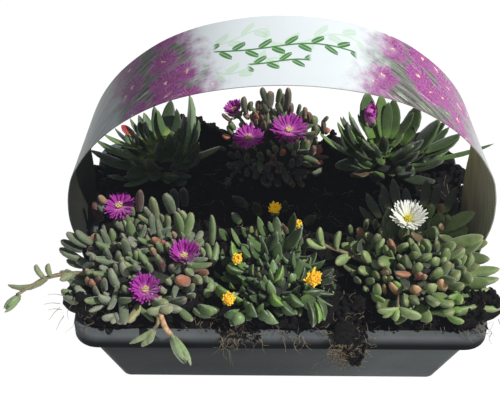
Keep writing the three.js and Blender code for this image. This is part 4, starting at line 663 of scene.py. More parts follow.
# The leaves of a mound: crossed pairs on shoots that stand over a dome by the golden angle
def moundLeaves(mound, shoots, seed, turnFrom=0.0):
    draw = seededDraw(seed)
    leaves, stems = [], []
    for shoot in range(shoots):
        polar = math.acos(1 - (1 - math.cos(growth["reach"])) * (shoot + 0.5) / shoots)
        turn = turnFrom + shoot * goldenAngle + growth["turnWander"] * (draw() - 0.5)
        outward = turnedTo(up, turnedTo(right, np.array([0.0, 1.0, 0.0]), turn), polar)
        seat = outward * mound["core"] + mound["centre"]
        wander = np.array([draw() - 0.5, draw() - 0.5, draw() - 0.5]) * growth["axisWander"]
        normal = unit(outward / mound["core"])
        axis = unit(normal + up * mound["lift"] + wander)
        side, forward = squareTo(axis)
        spin = math.pi * draw()
        stems.append((seat - axis * growth["shootBelow"], seat + axis * growth["shootAbove"]))
        for pair, splay in enumerate(mound["splay"]):
            for half in (0, 1):
                sideways = turnedTo(side, forward, spin + math.pi * half + math.pi / 2 * pair)
                lean = splay + growth["leanWander"] * (draw() - 0.5)
                length = mix(*mound["length"], draw()) * (growth["secondPair"] if pair else 1)
                size = mix(*growth["sizes"], draw())
                base = seat - axis * growth["rootDepth"] + sideways * growth["rootSpread"]
                face = turnedTo(axis, sideways, lean - math.pi / 2)
                leaves.append(dict(
                    kind=mound["kind"], base=base, tip=base + turnedTo(axis, sideways, lean) * length,
                    bulge=-growth["bow"] * length * face, face=face,
                    width=mound["width"] * size, thick=mound["thick"] * size,
                ))
    return leaves, stems


plants = {}
for name in plantNames:
    rule = mounds.get(name) or rosettes[name]
    plant = dict(rule, centre=np.array(rule["centre"], float), core=np.array(rule["core"], float),
                 fixed=[], stems=[], buds=[])
    for letter, rows in placedLeaves[name].items():
        kind = "lance" if name in rosettes or (name == "front_right" and letter == "d") else rule["kind"]
        for row in np.array(rows, float):
            root, tip, width = row[:3], row[3:6], row[6] * placed["width"][name]
            sag = placed["sag"] * np.linalg.norm(tip - root)
            plant["fixed"].append(dict(handLeaf(root, tip, width, sag, kind, plant["centre"]), colour=letter))
    for row in np.array(rule.get("leaves", []), float).reshape(-1, 7):
        root = rooted(np.array([*row[:2], rule["centre"][2]]), plant)
        leaf = handLeaf(np.array([*row[:2], rule["centre"][2]]), row[2:5], row[5], row[6], "lance",
                        plant["centre"])
        plant["fixed"].append(dict(leaf, base=root))
    for trail in trails.get(name, []):
        for row in trail.get("leaves", []):
            root, tip = np.array(row[:3], float), np.array(row[3:6], float)
            leaf = handLeaf(root, tip, *row[6:], plant["centre"])
            plant["fixed"].append(dict(leaf, colour=placed["trailColour"]))
        path = np.array(trail["points"], float)
        path[0, :3] = rooted(path[0, :3], plant)
        plant["stems"].append((path, trail.get("skin", "stem")))
        plant["buds"] += trail.get("buds", [])
    plants[name] = plant


# Which leaves find room: balls along each leaf are held against blooms, band, tray, soil and other leaves

room = dict(leafGap=0.5, bandGap=1.5, ownShare=0.55, bloomBelow=2.4, bloomAbove=16, stem=3.5, far=50,
            late=(0.5, 0.7))
taken = dict(at=np.zeros((0, 3)), radius=np.zeros(0), plant=np.zeros(0, int))


# Balls on a leaf's middle line, root + t (tip - root) + 4 t (1 - t) bulge, smaller over its last fifth
def leafBalls(leaf):
    steps = max(5, math.ceil(np.linalg.norm(leaf["tip"] - leaf["base"]) / 4))
    t = mix(0.3, 1, np.arange(steps + 1) / steps)
    share = np.where(t < 0.8, 1, mix(1, 0.35, (t - 0.8) / 0.2))
    at = mix(leaf["base"], leaf["tip"], t[:, None]) + leaf["bulge"] * (4 * t * (1 - t))[:, None]
    return at, share * max(leaf["width"], leaf["thick"]) / 2 + 0.3


def takeRoom(at, radius, plantIndex):  # adds balls of a plant to those in the way of later leaves
    taken["at"] = np.vstack([taken["at"], at])
    taken["radius"] = np.append(taken["radius"], np.broadcast_to(radius, len(at)))
    taken["plant"] = np.append(taken["plant"], np.full(len(at), plantIndex))


def inBloom(at, radius):  # which balls meet a cylinder round a bloom's axis, as far as its petals reach
    hit = np.zeros(len(at), bool)
    for bloom in blooms:
        away = at - bloom["at"]
        height = away @ bloom["axis"]
        aside = np.sqrt(np.maximum((away ** 2).sum(1) - height ** 2, 0))
        petals = bloom["root"] + bloom["petal"] * math.cos(bloom["cup"]) + bloom["width"] / 2
        tall = bloom["petal"] * math.sin(bloom["cup"]) + room["bloomAbove"]
        inReach = aside < max(petals, bloom["dish"]) + radius + room["leafGap"]
        hit |= (height > -room["bloomBelow"] - radius) & (height < tall) & inReach
    return hit


def inFixtures(at, radius):  # which balls meet the band, the tray or the soil
    x, y, z = at.T
    nearY = (y > band["frontY"] - radius - 1) & (y < band["backY"] + radius + 1)
    inBand = nearY & (np.abs(np.abs(x) - bandHalfWidth(y, z)) < radius + room["bandGap"])
    inTray = ((np.abs(x) < rim["halfX"] + radius + room["leafGap"])
              & (np.abs(y) < rim["halfY"] + radius + room["leafGap"]) & (z < rim["height"] + radius * 0.6))
    within = (np.abs(x) < soilHalfX(y, np.sign(x))) & (np.abs(y) < soilHalfY(x, np.sign(y)))
    return inBand | inTray | (within & (z < soilHeight(x, y) + radius * 0.4))


# A leaf has room where its balls clear blooms, fixtures and other cores, and lie no nearer to the balls of
# its own and of other plants than a share of both radii. It then takes its room
def hasRoom(leaf, plantIndex, ownShare, otherShare):
    at, radius = leafBalls(leaf)
    if inBloom(at, radius).any() or inFixtures(at, radius).any():
        return False
    for other, plant in enumerate(plants.values()):
        grown = plant["core"] + (radius + room["leafGap"])[:, None]
        away = np.linalg.norm((at - plant["centre"]) / grown, axis=1)
        if other != plantIndex and (away < 1).any():
            return False
    near = np.linalg.norm(taken["at"] - leaf["tip"], axis=1) < room["far"]
    apart = np.linalg.norm(at[:, None] - taken["at"][near][None], axis=2)
    reach = radius[:, None] + taken["radius"][near][None]
    own = taken["plant"][near] == plantIndex
    if (apart < np.where(own, ownShare * reach, otherShare * (reach + room["leafGap"]))).any():
        return False
    takeRoom(at, radius, plantIndex)
    return True


def pathBalls(points):  # seven points at even steps along each straight span
    share = (np.arange(7) / 6)[None, :, None]
    return mix(points[:-1, None], points[1:, None], share).reshape(-1, 3)


for index, (name, plant) in enumerate(plants.items()):
    for bloom in blooms:
        if bloom["plant"] == name:
            stalk = np.array([bloom["at"] - bloom["axis"] * 4, plant["centre"]])
            takeRoom(pathBalls(stalk), room["stem"], index)
    for stem, _ in plant["stems"]:
        takeRoom(pathBalls(stem[:, :3]), room["stem"], index)
    for leaf in plant["fixed"]:
        takeRoom(*leafBalls(leaf), index)

# Leaves by the rule: the mounds' own shoots first, then the refused ones and extra shoots, packed closer

extraShoots = dict(front_left=20, back_centre=20, front_centre=30, front_right=20)
refused = {}
for index, (name, plant) in enumerate(plants.items()):
    plant["grown"], plant["shoots"], refused[name] = [], [], []
    if name in mounds:
        leaves, plant["shoots"] = moundLeaves(plant, plant["shootCount"], plant["seed"])
        for leaf in leaves:
            (plant["grown"] if hasRoom(leaf, index, room["ownShare"], 1) else refused[name]).append(leaf)
for index, (name, plant) in enumerate(plants.items()):
    if name in mounds:
        more, stems = moundLeaves(plant, extraShoots[name], plant["seed"] + 100, 1.3)
        plant["grown"] += [leaf for leaf in refused[name] + more if hasRoom(leaf, index, *room["late"])]
        plant["shoots"] += stems


# What the eye sees of each leaf: no two are bent, turned or sized alike
looseness = dict(
    finger=dict(length=(0.8, 1.04), width=(0.86, 1.24), thick=(0.9, 1.1), bend=0.13, roll=0.5),
    narrow=dict(length=(0.72, 1.0), width=(0.9, 1.25), thick=(1.25, 1.6), bend=0.1, roll=0.4),
    oval=dict(length=(0.84, 1.08), width=(0.82, 1.12), thick=(0.75, 0.95), bend=0.1, roll=0.5),
    lance=dict(length=(0.94, 1.02), width=(1.2, 1.45), thick=(1.3, 1.6), bend=0.04, roll=0.3),
)
narrowThick = 1.3  # how much thicker the placed narrow leaves look than their flatness says


# The leaf bent sideways and along its face by shares of its length, rolled, and resized, each by chance
def loosened(leaf, chance):
    rule = looseness[leaf["kind"]]
    along = leaf["tip"] - leaf["base"]
    length = np.linalg.norm(along)
    aside = unit(np.cross(along, leaf["face"]))
    bend = chance.normal() * rule["bend"] * length
    curl = chance.normal() * rule["bend"] * length * 0.6
    face = unit(turnedTo(leaf["face"], aside, chance.normal() * rule["roll"]))
    return dict(leaf, tip=leaf["base"] + along * chance.uniform(*rule["length"]), face=face, colour=None,
                bulge=leaf["bulge"] + aside * bend * 0.5 - leaf["face"] * curl * 0.5,
                width=leaf["width"] * chance.uniform(*rule["width"]),
                thick=leaf["thick"] * chance.uniform(*rule["thick"]))


# Younger leaves of a rosette, each between two of its leaves that are next to each other round it
younger = dict(apart=62, skipped=0.5, place=(0.35, 0.65), length=(0.5, 0.75), rise=(2, 9), width=(7, 11),
               sag=3)


def betweenLeaves(plant, chance):  # tips and roots between those of the two leaves, then shortened and raised
    tips = np.array([leaf["tip"] for leaf in plant["fixed"]]) - plant["centre"]
    order = np.argsort(np.arctan2(tips[:, 1], tips[:, 0]))
    between = []
    for first, second in zip(order, np.roll(order, -1)):
        a, b = plant["fixed"][first], plant["fixed"][second]
        if np.linalg.norm(a["tip"] - b["tip"]) > younger["apart"] or chance.random() < younger["skipped"]:
            continue
        tip = mix(a["tip"], b["tip"], chance.uniform(*younger["place"]))
        base = mix(a["base"], b["base"], 0.5)
        tip = mix(base, tip, chance.uniform(*younger["length"])) + up * chance.uniform(*younger["rise"])
        width = chance.uniform(*younger["width"])
        leaf = handLeaf(base, tip, width, younger["sag"], "lance", plant["centre"])
        at, radius = leafBalls(leaf)
        if not (inBloom(at, radius).any() or inFixtures(at, radius).any()):
            between.append(leaf)
    return between


for index, (name, plant) in enumerate(plants.items()):
    chance = np.random.default_rng(500 + index)
    if name in rosettes:
        plant["grown"] = betweenLeaves(plant, chance)
    plant["grown"] = [loosened(leaf, chance) for leaf in plant["grown"]]
    for leaf in plant["fixed"]:
        if leaf["kind"] == "narrow":
            leaf["thick"] *= narrowThick
    print("leaves of", name, len(plant["fixed"]) + len(plant["grown"]))


# The form of a leaf: places along it, and its share of full width and depth at each

leafForms = dict(
    finger=dict(t=(0.03, 0.2, 0.45, 0.7, 0.88, 0.965), wide=(0.7, 0.94, 1.06, 1.0, 0.72, 0.36), upper=0.42,
                keel=0.35, channel=0.15),
    narrow=dict(t=(0.03, 0.2, 0.42, 0.65, 0.84, 0.95), wide=(0.7, 0.95, 1.1, 0.94, 0.54, 0.2), upper=0.24,
                keel=0.9, channel=0.35),
    oval=dict(t=(0.03, 0.2, 0.45, 0.7, 0.87, 0.96), wide=(0.56, 0.86, 1.1, 1.08, 0.74, 0.37), upper=0.4,
              keel=0.4, channel=0.1),
    lance=dict(t=(0.02, 0.16, 0.36, 0.56, 0.76, 0.92), wide=(0.66, 0.88, 1.05, 1.1, 0.9, 0.46), upper=0.2,
               keel=0.8, channel=0.45),
    petal=dict(t=(0.04, 0.3, 0.66, 0.92), wide=(0.55, 0.85, 1.0, 0.56), upper=0.5, keel=0.2, channel=0.0),
)


# Leaves as skins: middle(t) = root + t (tip - root) + 4 t (1 - t) bulge, and a ring round it of
# side * width / 2 * cos a + normal * thickness * (share above or below) * sin a, flattened by the keel
def addLeaves(heap, leaves, tints, around=8):
    for kind, form in leafForms.items():
        chosen = [k for k, leaf in enumerate(leaves) if leaf["kind"] == kind]
        if not chosen:
            continue
        gather = lambda key: np.array([leaves[k][key] for k in chosen])
        base, tip, bulge, face = [gather(key)[:, None] for key in ("base", "tip", "bulge", "face")]
        width, thick = [gather(key)[:, None, None] for key in ("width", "thick")]
        t = np.array(form["t"])[None, :, None]
        middle = mix(base, tip, t) + bulge * 4 * t * (1 - t)
        along = unit(tip - base + bulge * 4 * (1 - 2 * t))
        side = unit(np.cross(along, face))
        normal = np.cross(side, along)
        share = np.array(form["wide"])[None, :, None]
        angle = turnsOf(around)[None, None, :]
        sine, cosine = np.sin(angle), np.cos(angle)
        top = form["upper"] * (sine - form["channel"] * sine ** 2)
        below = -(1 - form["upper"]) * mix(np.abs(sine), 1 - np.abs(cosine), form["keel"])
        height = np.where(sine > 0, top, below) * thick * share
        aside = cosine * width / 2 * share
        rings = middle[:, :, None] + side[:, :, None] * aside[..., None]
        rings = rings + normal[:, :, None] * height[..., None]
        points = skinPoints(rings, base[:, 0], tip[:, 0])
        tint = np.repeat(np.array([tints[k] for k in chosen])[:, None], points.shape[1], axis=1)
        onRings = np.stack(np.broadcast_arrays(t, np.abs(cosine), (sine > 0.01) * 1.0, sine), -1)
        onRings = np.broadcast_to(onRings, (len(chosen), *onRings.shape[1:])).reshape(len(chosen), -1, 4)
        start, end = [np.broadcast_to(np.array([at, 0.5, 0.5, 0]), (len(chosen), 1, 4)) for at in (0.0, 1.0)]
        place = np.concatenate([start, onRings, end], axis=1)
        heap.add(points, skinFaces(len(chosen), len(form["t"]), around), 0, tint.reshape(-1, 4),
                 place.reshape(-1, 4))


# Materials of the plants: colours are mixed by places along the leaf, its edges and two sizes of noise

def leafPaint(name, paleEdge, tipColour, tipShare, baseColour, speckle, roughness, sheen):
    paint = Paint(name, roughness=roughness, sheenWeight=sheen, sheenRoughness=0.5, specular=0.35)
    tint, _, _, _, tone = paint.attribute("tint")
    _, along, edge, _, _ = paint.attribute("place")
    fine = paint.noise(1500, 2, 0.7)
    edgeShare = paint.ramp(edge, 0.86, 1.0) * paint.ramp(along, 0.1, 0.4) * paleEdge
    colour = paint.layers(
        tint,
        (paint.ramp(paint.noise(260, 3), 0.3, 0.75) * 0.5, paint.blend(0.55, tint, (0.01, 0.014, 0.006, 1))),
        # the root colour, which holds painted shade at the front left and a painted glow at the back left and
        # right
        (paint.ramp(along, 0.35, 0.0) * 0.7, baseColour),
        (paint.ramp(along, 0.82, 1.0) * tipShare * tone, tipColour),
        (edgeShare, paint.blend(0.5, tint, (0.5, 0.52, 0.42, 1))),
        (paint.ramp(fine, 0.58, 0.74) * speckle, (0.62, 0.66, 0.58, 1)),
    )
    paint.feed(baseColor=colour, normal=paint.bump(fine * 0.5 + paint.noise(620, 2) * 0.6, 0.0006, 0.55))
    return paint


def plainPaint(name, dark, light, scale, roughness, bump, **constants):  # one noise from dark to light
    paint = Paint(name, roughness=roughness, **constants)
    grain = paint.noise(scale, 4, 0.6)
    colour = paint.blend(paint.ramp(grain, 0.3, 0.7), dark, light)
    paint.feed(baseColor=colour, normal=paint.bump(grain, bump))
    return paint


# Paints of every plant, after its leaf paint
plantSkins = dict(
    stem=plainPaint("stem", (92, 86, 62), (150, 132, 96), 420, 0.6, 0.0004),
    # the dark core inside each plant is painted shade
    thatch=plainPaint("thatch", (16, 17, 14), (40, 42, 30), 300, 0.9, 0.001),
    calyx=plainPaint("calyx", (92, 106, 70), (134, 150, 104), 500, 0.5, 0.0003),
    peach=plainPaint("stemPeach", (150, 116, 78), (206, 166, 126), 420, 0.6, 0.0004),
)
skin = {name: number + 1 for number, name in enumerate(plantSkins)}

# Pale edge, tip colour and share, root colour, speckles, roughness and sheen. The root colour is partly
# painted light: darker at the front left as painted shade between the leaves, yellow-green at the back left
# and right as a painted glow of sun through them
leafPaints = {plant: leafPaint(*row) for plant, row in dict(
    front_left=("leafFrosted", 0.25, (150, 120, 100), 0.5, (88, 92, 60), 0.4, 0.55, 0.35),
    front_centre=("leafDeepGreen", 0.75, (170, 176, 150), 0.6, (96, 122, 58), 0.15, 0.35, 0.1),
    front_right=("leafOlive", 0.5, (170, 150, 120), 0.4, (140, 158, 96), 0.22, 0.48, 0.2),
    back_left=("leafKeeledGrey", 0.35, (120, 120, 90), 0.4, (150, 176, 74), 0.15, 0.45, 0.15),
    back_centre=("leafBronze", 0.2, (150, 96, 70), 0.7, (92, 96, 64), 0.3, 0.55, 0.3),
    back_right=("leafKeeledGreen", 0.22, (120, 130, 90), 0.4, (104, 140, 56), 0.12, 0.4, 0.12),
).items()}

leafSlots = dict(front_left="leaf_frosted", front_centre="leaf_deep_green", front_right="leaf_olive",
                 back_left="leaf_keeled", back_centre="leaf_bronze", back_right="leaf_keeled")

# Leaf colours: a cast over the whole plant, the usual colours of grown leaves with their shares, and every
# colour by its letter
# The letter d is the leaf green darkened: painted shade for leaves that lie in shade. At the back, the usual
# colours of grown leaves are mostly the dark ones: painted shade deep inside the plants
leafTints = dict(
    front_left=dict(
        cast=(0.86, 0.85, 0.78), usual=[(0.4, "s"), (0.4, "g"), (0.2, "P")],
        M=(88, 44, 40), T=(176, 136, 100), s=(104, 120, 92), S=(146, 154, 132), B=(100, 70, 58),
        g=(112, 134, 84), L=(150, 162, 116), P=(112, 126, 98), d=(62, 76, 54), G=(136, 162, 104),
        O=(176, 104, 68), R=(176, 76, 62), Y=(168, 164, 116)),
    front_centre=dict(
        cast=(1.04, 0.97, 0.84), usual=[(0.4, "D"), (0.4, "g"), (0.2, "G")],
        g=(72, 98, 58), L=(122, 152, 104), V=(116, 160, 64), G=(92, 124, 74), d=(44, 56, 42),
        D=(64, 86, 52), P=(146, 168, 130), B=(124, 96, 76), Y=(150, 156, 92)),
    front_right=dict(
        cast=(1.05, 0.94, 0.8), usual=[(0.4, "g"), (0.4, "G"), (0.2, "D")],
        d=(52, 66, 46), G=(108, 136, 80), L=(134, 162, 104), T=(184, 146, 108), R=(176, 120, 92),
        B=(110, 92, 64), D=(92, 112, 60), V=(112, 156, 66), g=(84, 106, 64), Y=(150, 152, 92)),
    back_left=dict(
        cast=(1, 1, 0.86), usual=[(0.6, "D"), (0.4, "G")],
        P=(122, 150, 110), G=(80, 106, 66), D=(56, 74, 48), L=(108, 138, 80), M=(84, 44, 36),
        R=(160, 24, 36)),
    # Back centre's R is lightened as painted light, so its leaves read as sunlit inside the band's shadow
    back_centre=dict(
        cast=(1, 0.98, 0.92), usual=[(0.5, "d"), (0.3, "g"), (0.2, "B")],
        d=(60, 66, 50), s=(94, 94, 74), g=(84, 104, 62), B=(100, 74, 62), L=(130, 140, 104),
        T=(140, 112, 84), O=(184, 98, 70), G=(104, 128, 76), M=(88, 52, 46), R=(225, 110, 75)),
    back_right=dict(
        cast=(1.04, 0.94, 0.74), usual=[(0.6, "D"), (0.4, "G")],
        G=(66, 94, 50), L=(92, 126, 68), P=(96, 118, 80), V=(108, 150, 72), D=(46, 62, 40), B=(82, 70, 52)),
)
tintRange, toneRange = (0.8, 1.02), (0.3, 1.0)


def chooseTints(name, leaves, seed):  # a leaf's own colour or a usual one, times the cast and a random shade
    chance = np.random.default_rng(seed)
    rule = leafTints[name]
    shares = np.array([share for share, _ in rule["usual"]])
    picked = chance.choice(len(shares), len(leaves), p=shares / shares.sum())
    letters = [leaf["colour"] or rule["usual"][k][1] for leaf, k in zip(leaves, picked)]
    tints = np.array([srgb(*rule[letter]) for letter in letters])
    tints[:, :3] *= chance.uniform(*tintRange, (len(leaves), 1)) * rule["cast"]
    tints[:, 3] = chance.uniform(*toneRange, len(leaves))
    return tints


# Building the plants: leaves, shoots, a dark core of painted shade, trailing stems, buds, and the cups and
# stalks of the blooms

# A dark lumpy core inside each plant: painted shade that fills the gaps between its leaves
def addShadeCore(heap, plant, seed):  # an ellipsoid with radial lumps: centre + core * 0.9 (1 + lumps)
    polar = np.linspace(0.06, math.pi - 0.06, 22)[:, None]
    turn = turnsOf(44)[None, :]
    lumps = 0.07 * lattice(np.cos(turn) * 40 + polar * 60, np.sin(turn) * 40, 9, seed)
    ball = np.stack(np.broadcast_arrays(np.sin(polar) * np.cos(turn), np.sin(polar) * np.sin(turn),
                                        np.cos(polar)), -1)
    addLoft(heap, plant["centre"] + ball * plant["core"] * (0.9 + lumps)[..., None], skin["thatch"])


# A body turned round an axis: rings of (radius, height) at a place
def addTurned(heap, at, axis, profile, around, material, tint=(0, 0, 0, 0)):
    side, forward = squareTo(axis)
    angle = turnsOf(around)[None, :, None]
    radius, height = np.array(profile, float).T[..., None, None]
    rings = at + axis * height + radius * (side * np.cos(angle) + forward * np.sin(angle))
    addLoft(heap, rings, material, tint)


def sepals(at, axis, radius, length, lean, count, width, turn=0.0):  # small leaves round an axis
    side, forward = squareTo(axis)
    leaves = []
    for k in range(count):
        radial = turnedTo(side, forward, turn + k * 2 * math.pi / count)
        rise = turnedTo(axis, radial, lean)
        face = turnedTo(-radial, axis, lean)
        base = at + radial * radius
        leaves.append(dict(kind="finger", base=base, tip=base + rise * length, face=face,
                           bulge=radial * length * 0.12, width=width, thick=width * 0.7))
    return leaves


cup = dict(below=0.35, sepalLean=dict(open=0.9, brush=0.35, tube=0.35), sepalWidth=3, stalk=1.4)


# A turned cup under a bloom, a stalk that bends down into the plant's core, and the places of five sepals
def addCup(heap, bloom, plant):
    top = -dishDepth - cup["below"]
    dish, axis = bloom["dish"], bloom["axis"]
    profile = [(dish * 0.8, top), (dish * 0.82, top - 1.2), (dish * 0.62, top - 3), (1.6, top - calyxDepth)]
    addTurned(heap, bloom["at"], axis, profile, 12, skin["calyx"])
    foot = bloom["at"] + axis * (top - calyxDepth + 1.2)
    middle = mix(foot, plant["centre"], 0.5) + axis * -3
    path = smoothPath([foot, middle, mix(foot, plant["centre"], 0.85)], 5)
    addTube(heap, path, cup["stalk"], 7, skin["calyx"])
    size = 0.52 * bloom["petal"] + 2
    return sepals(bloom["at"] + axis * (top - 2.2), axis, dish * 0.55, size,
                  cup["sepalLean"][bloom["kind"]], 5, cup["sepalWidth"], 0.4)


# Buds: shares of the width and length
bud = dict(profile=[(0.3, 0.2), (0.36, 0.4), (0.26, 0.66)], foot=(1.2, 0.5), tip=(0.7, 0.86),
           sepals=(1, 0.72, 0.9, 0.62))


def addBud(heap, row):  # a slim turned body from foot to tip, under four sepals of uneven lengths
    start, end, width = np.array(row[:3], float), np.array(row[3:6], float), row[6]
    axis, length = unit(end - start), np.linalg.norm(end - start)
    profile = [(width * wide, length * height) for wide, height in bud["profile"]]
    addTurned(heap, start, axis, [bud["foot"], *profile, (bud["tip"][0], length * bud["tip"][1])], 12,
              skin["calyx"])
    parts = sepals(start + axis * length * 0.1, axis, width * 0.16, length * 0.9, 0.02, 4, width * 0.78)
    return [dict(part, kind="lance", tip=mix(part["base"], part["tip"], share), bulge=part["bulge"] * 0.3)
            for part, share in zip(parts, bud["sepals"])]


for index, (name, plant) in enumerate(plants.items()):
    heap = Heap()
    leaves = plant["fixed"] + plant["grown"]
    young = []
    for start, end in plant["shoots"]:
        addTube(heap, np.linspace(start, mix(start, end, 0.7), 3), (1.5, 1.4, 1.0), 5, skin["calyx"])
    addShadeCore(heap, plant, 60 + index)
    for stem, paint in plant["stems"]:
        path = smoothPath(stem, 5)
        addTube(heap, path[:, :3], path[:, 3] * 0.9, 8, skin[paint])
    for row in plant["buds"]:
        young += addBud(heap, row)
    for bloom in blooms:
        if bloom["plant"] == name:
            young += addCup(heap, bloom, plant)
    addLeaves(heap, young, [srgb(128, 152, 98)] * len(young))
    addLeaves(heap, leaves, chooseTints(name, leaves, 40 + index))
    heap.piece("leaves_" + name, [leafPaints[name], *plantSkins.values()], leafSlots[name], ["plant_" + name])
    print("plant", name, heap.count, "points")


# Petals and bloom centres

petalRules = dict(
    open=dict(whorls=((28, 1.0, 0.0), (26, 0.93, 0.15)), width=2.3, thick=0.35, loose=(0.84, 1.06),
              wander=0.13),
    brush=dict(whorls=((16, 0.95, 0.0), (16, 1.0, 0.2), (14, 0.95, 0.45), (12, 0.9, 0.8)), width=2,
               thick=0.9, loose=(0.7, 1.15), wander=0.24),
    tube=dict(whorls=((13, 1.0, 0.0), (10, 0.97, 0.03)), width=5.6, thick=0.5, loose=(0.9, 1.04), wander=0.1),
    dense=dict(whorls=((30, 1.0, 0.0), (28, 0.94, 0.13)), width=2.6, thick=0.35, loose=(0.88, 1.06),
               wander=0.12),
)  # a whorl is its count, its share of the petal's length and its rise in radians
petalRoot, steepest = 1.4, 1.52  # millimetres from the axis, and radians


def petalLeaves(bloom, seed):  # petals at even turns in each whorl, cupped, shortened and swayed by chance
    chance = np.random.default_rng(seed)
    axis = bloom["axis"]
    side, forward = squareTo(axis)
    rule = petalRules["dense" if bloom["colour"] == "white" else bloom["kind"]]
    leaves = []
    for count, share, rise in rule["whorls"]:
        for k in range(count):
            angle = (k + 0.5 + chance.uniform(-0.25, 0.25)) * 2 * math.pi / count + rise * 3
            radial = turnedTo(side, forward, angle)
            cupped = min(bloom["cup"] + rise + chance.uniform(-1, 1) * rule["wander"], steepest)
            length = (bloom["petal"] + bloom["root"] - petalRoot) * share * chance.uniform(*rule["loose"])
            outward = turnedTo(radial, axis, cupped)
            face = turnedTo(axis, -radial, cupped)
            base = bloom["at"] + radial * petalRoot + axis * (0.3 + rise * 2)
            sway = (side * chance.uniform(-1, 1) + forward * chance.uniform(-1, 1)) * length * 0.03
            leaves.append(dict(kind="petal", base=base, tip=base + outward * length, face=face,
                               bulge=-face * length * 0.06 + sway, thick=rule["thick"],
                               width=rule["width"] * chance.uniform(0.85, 1.15)))
    return leaves


# Petals also glow in their own colour: painted light, strongest on the yellow ones
def petalPaint(name, heart, body, tip, glow):  # heart to body to tip along the petal, with dark veins
    paint = Paint(name, roughness=0.5, sheenWeight=0.3, specular=0.3)
    tone = paint.attribute("tint")[4]
    along = paint.attribute("place")[1]
    vein = paint.noise(2600, 2)
    colour = paint.layers(heart, (paint.ramp(along, 0.05, 0.5), body), (paint.ramp(along, 0.6, 1.0), tip))
    dark = paint.blend(0.5, colour, (0.02, 0, 0.02, 1))
    colour = paint.layers(colour, (paint.ramp(vein, 0.4, 0.7) * 0.35, dark), (tone * 0.3, tip))
    paint.feed(baseColor=colour, normal=paint.bump(vein, 0.0002), emissionColor=colour, emissionStrength=glow)
    return paint


petalPaints = dict(
    magenta=petalPaint("petalMagenta", (200, 110, 184), (148, 18, 136), (168, 40, 156), 0.04),
    white=petalPaint("petalWhite", (206, 208, 130), (226, 226, 212), (236, 236, 228), 0.05),
    yellow=petalPaint("petalYellow", (236, 176, 16), (246, 194, 22), (252, 220, 60), 0.14),
)
eyes = dict(  # paint and slot by the bloom's colour
    magenta=(plainPaint("eyeCream", (214, 190, 110), (240, 226, 170), 900, 0.6, 0.0002), "bloom_eye"),
    white=(plainPaint("eyeYellow", (214, 190, 30), (240, 224, 70), 900, 0.6, 0.0002), "bloom_eye_yellow"),
)
stamens = dict(count=34, spread=0.62, rise=2.5, uneven=(0.3, 1.7), radii=(0.18, 0.16, 0.42, 0.3))


def addStamens(heap, bloom, seed):  # bent threads with thicker heads, spread by the golden angle
    chance = np.random.default_rng(seed)
    side, forward = squareTo(bloom["axis"])
    radius = bloom["dish"] * stamens["spread"]
    for k in range(stamens["count"]):
        spread = radius * math.sqrt((k + 0.5) / stamens["count"])
        radial = turnedTo(side, forward, k * goldenAngle)
        foot = bloom["at"] + radial * spread * 0.7 + bloom["axis"] * 0.5
        rise = stamens["rise"] + chance.uniform(*stamens["uneven"])
        top = bloom["at"] + radial * spread + bloom["axis"] * rise
        addTube(heap, [foot, mix(foot, top, 0.72), mix(foot, top, 0.82), top], stamens["radii"], 5)


for index, bloom in enumerate(blooms):
    heap = Heap()
    leaves = petalLeaves(bloom, 200 + index)
    tints = np.zeros((len(leaves), 4))
    tints[:, 3] = np.random.default_rng(300 + index).random(len(leaves))
    addLeaves(heap, leaves, tints, around=6)
    dish = bloom["dish"]
    profile = [(dish * 0.5, -dishDepth), (dish * 0.66, -0.4), (dish * 0.5, 0.5)]
    addTurned(heap, bloom["at"], bloom["axis"], profile, 12, 0)
    if bloom["kind"] != "open":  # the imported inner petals
        packed = np.array([(0.3, 0), (0.36, 0.36), (0.37, 0.74), (0.23, 0.92), (0.06, 1)]) * bloom["petal"]
        addTurned(heap, bloom["at"], bloom["axis"], packed, 14, 0)
    heap.piece("petals-" + bloom["name"], [petalPaints[bloom["colour"]]], "petal_" + bloom["colour"],
               ["petals_" + bloom["name"]])
    if bloom["kind"] == "open":
        eye = Heap()
        addStamens(eye, bloom, 400 + index)
        paint, slot = eyes[bloom["colour"]]
        eye.piece("eye-" + bloom["name"], [paint], slot, ["centre_" + bloom["name"]])
print("blooms made")


# The tray: one section carried round a rounded rectangle, with a floor of six tiles round their drain holes

def roundedRing(halfX, halfY, radius, z, steps=10):
    quarter = np.arange(4)[:, None]
    angle = (quarter + np.arange(steps + 1) / steps) * math.pi / 2
    signX = np.array([1, -1, -1, 1])[:, None]
    signY = np.array([1, 1, -1, -1])[:, None]
    x = signX * (halfX - radius) + radius * np.cos(angle)
    y = signY * (halfY - radius) + radius * np.sin(angle)
    return np.stack([x.ravel(), y.ravel(), np.full(x.size, float(z))], -1)


# The wall draws in by its tapers below the height where it is straight, and by a step under the lip
def wallRing(z, inset):
    share = max(1 - z / wall["straightFrom"], 0)
    corner = mix(rim["corner"] - rim["lip"], wall["footCorner"], share) - inset
    step = wall["stepX"] * min((rim["height"] - z) / wall["stepDepth"], 1)
    halfX = rim["halfX"] - rim["lip"] - wall["taperX"] * share - step - inset
    return roundedRing(halfX, rim["halfY"] - rim["lip"] - wall["taper"] * share - inset, max(corner, 1), z)


def lipRing(offset, z):  # the rim's outline, moved outwards by an offset
    return roundedRing(rim["halfX"] + offset, rim["halfY"] + offset, rim["corner"] + offset, z)


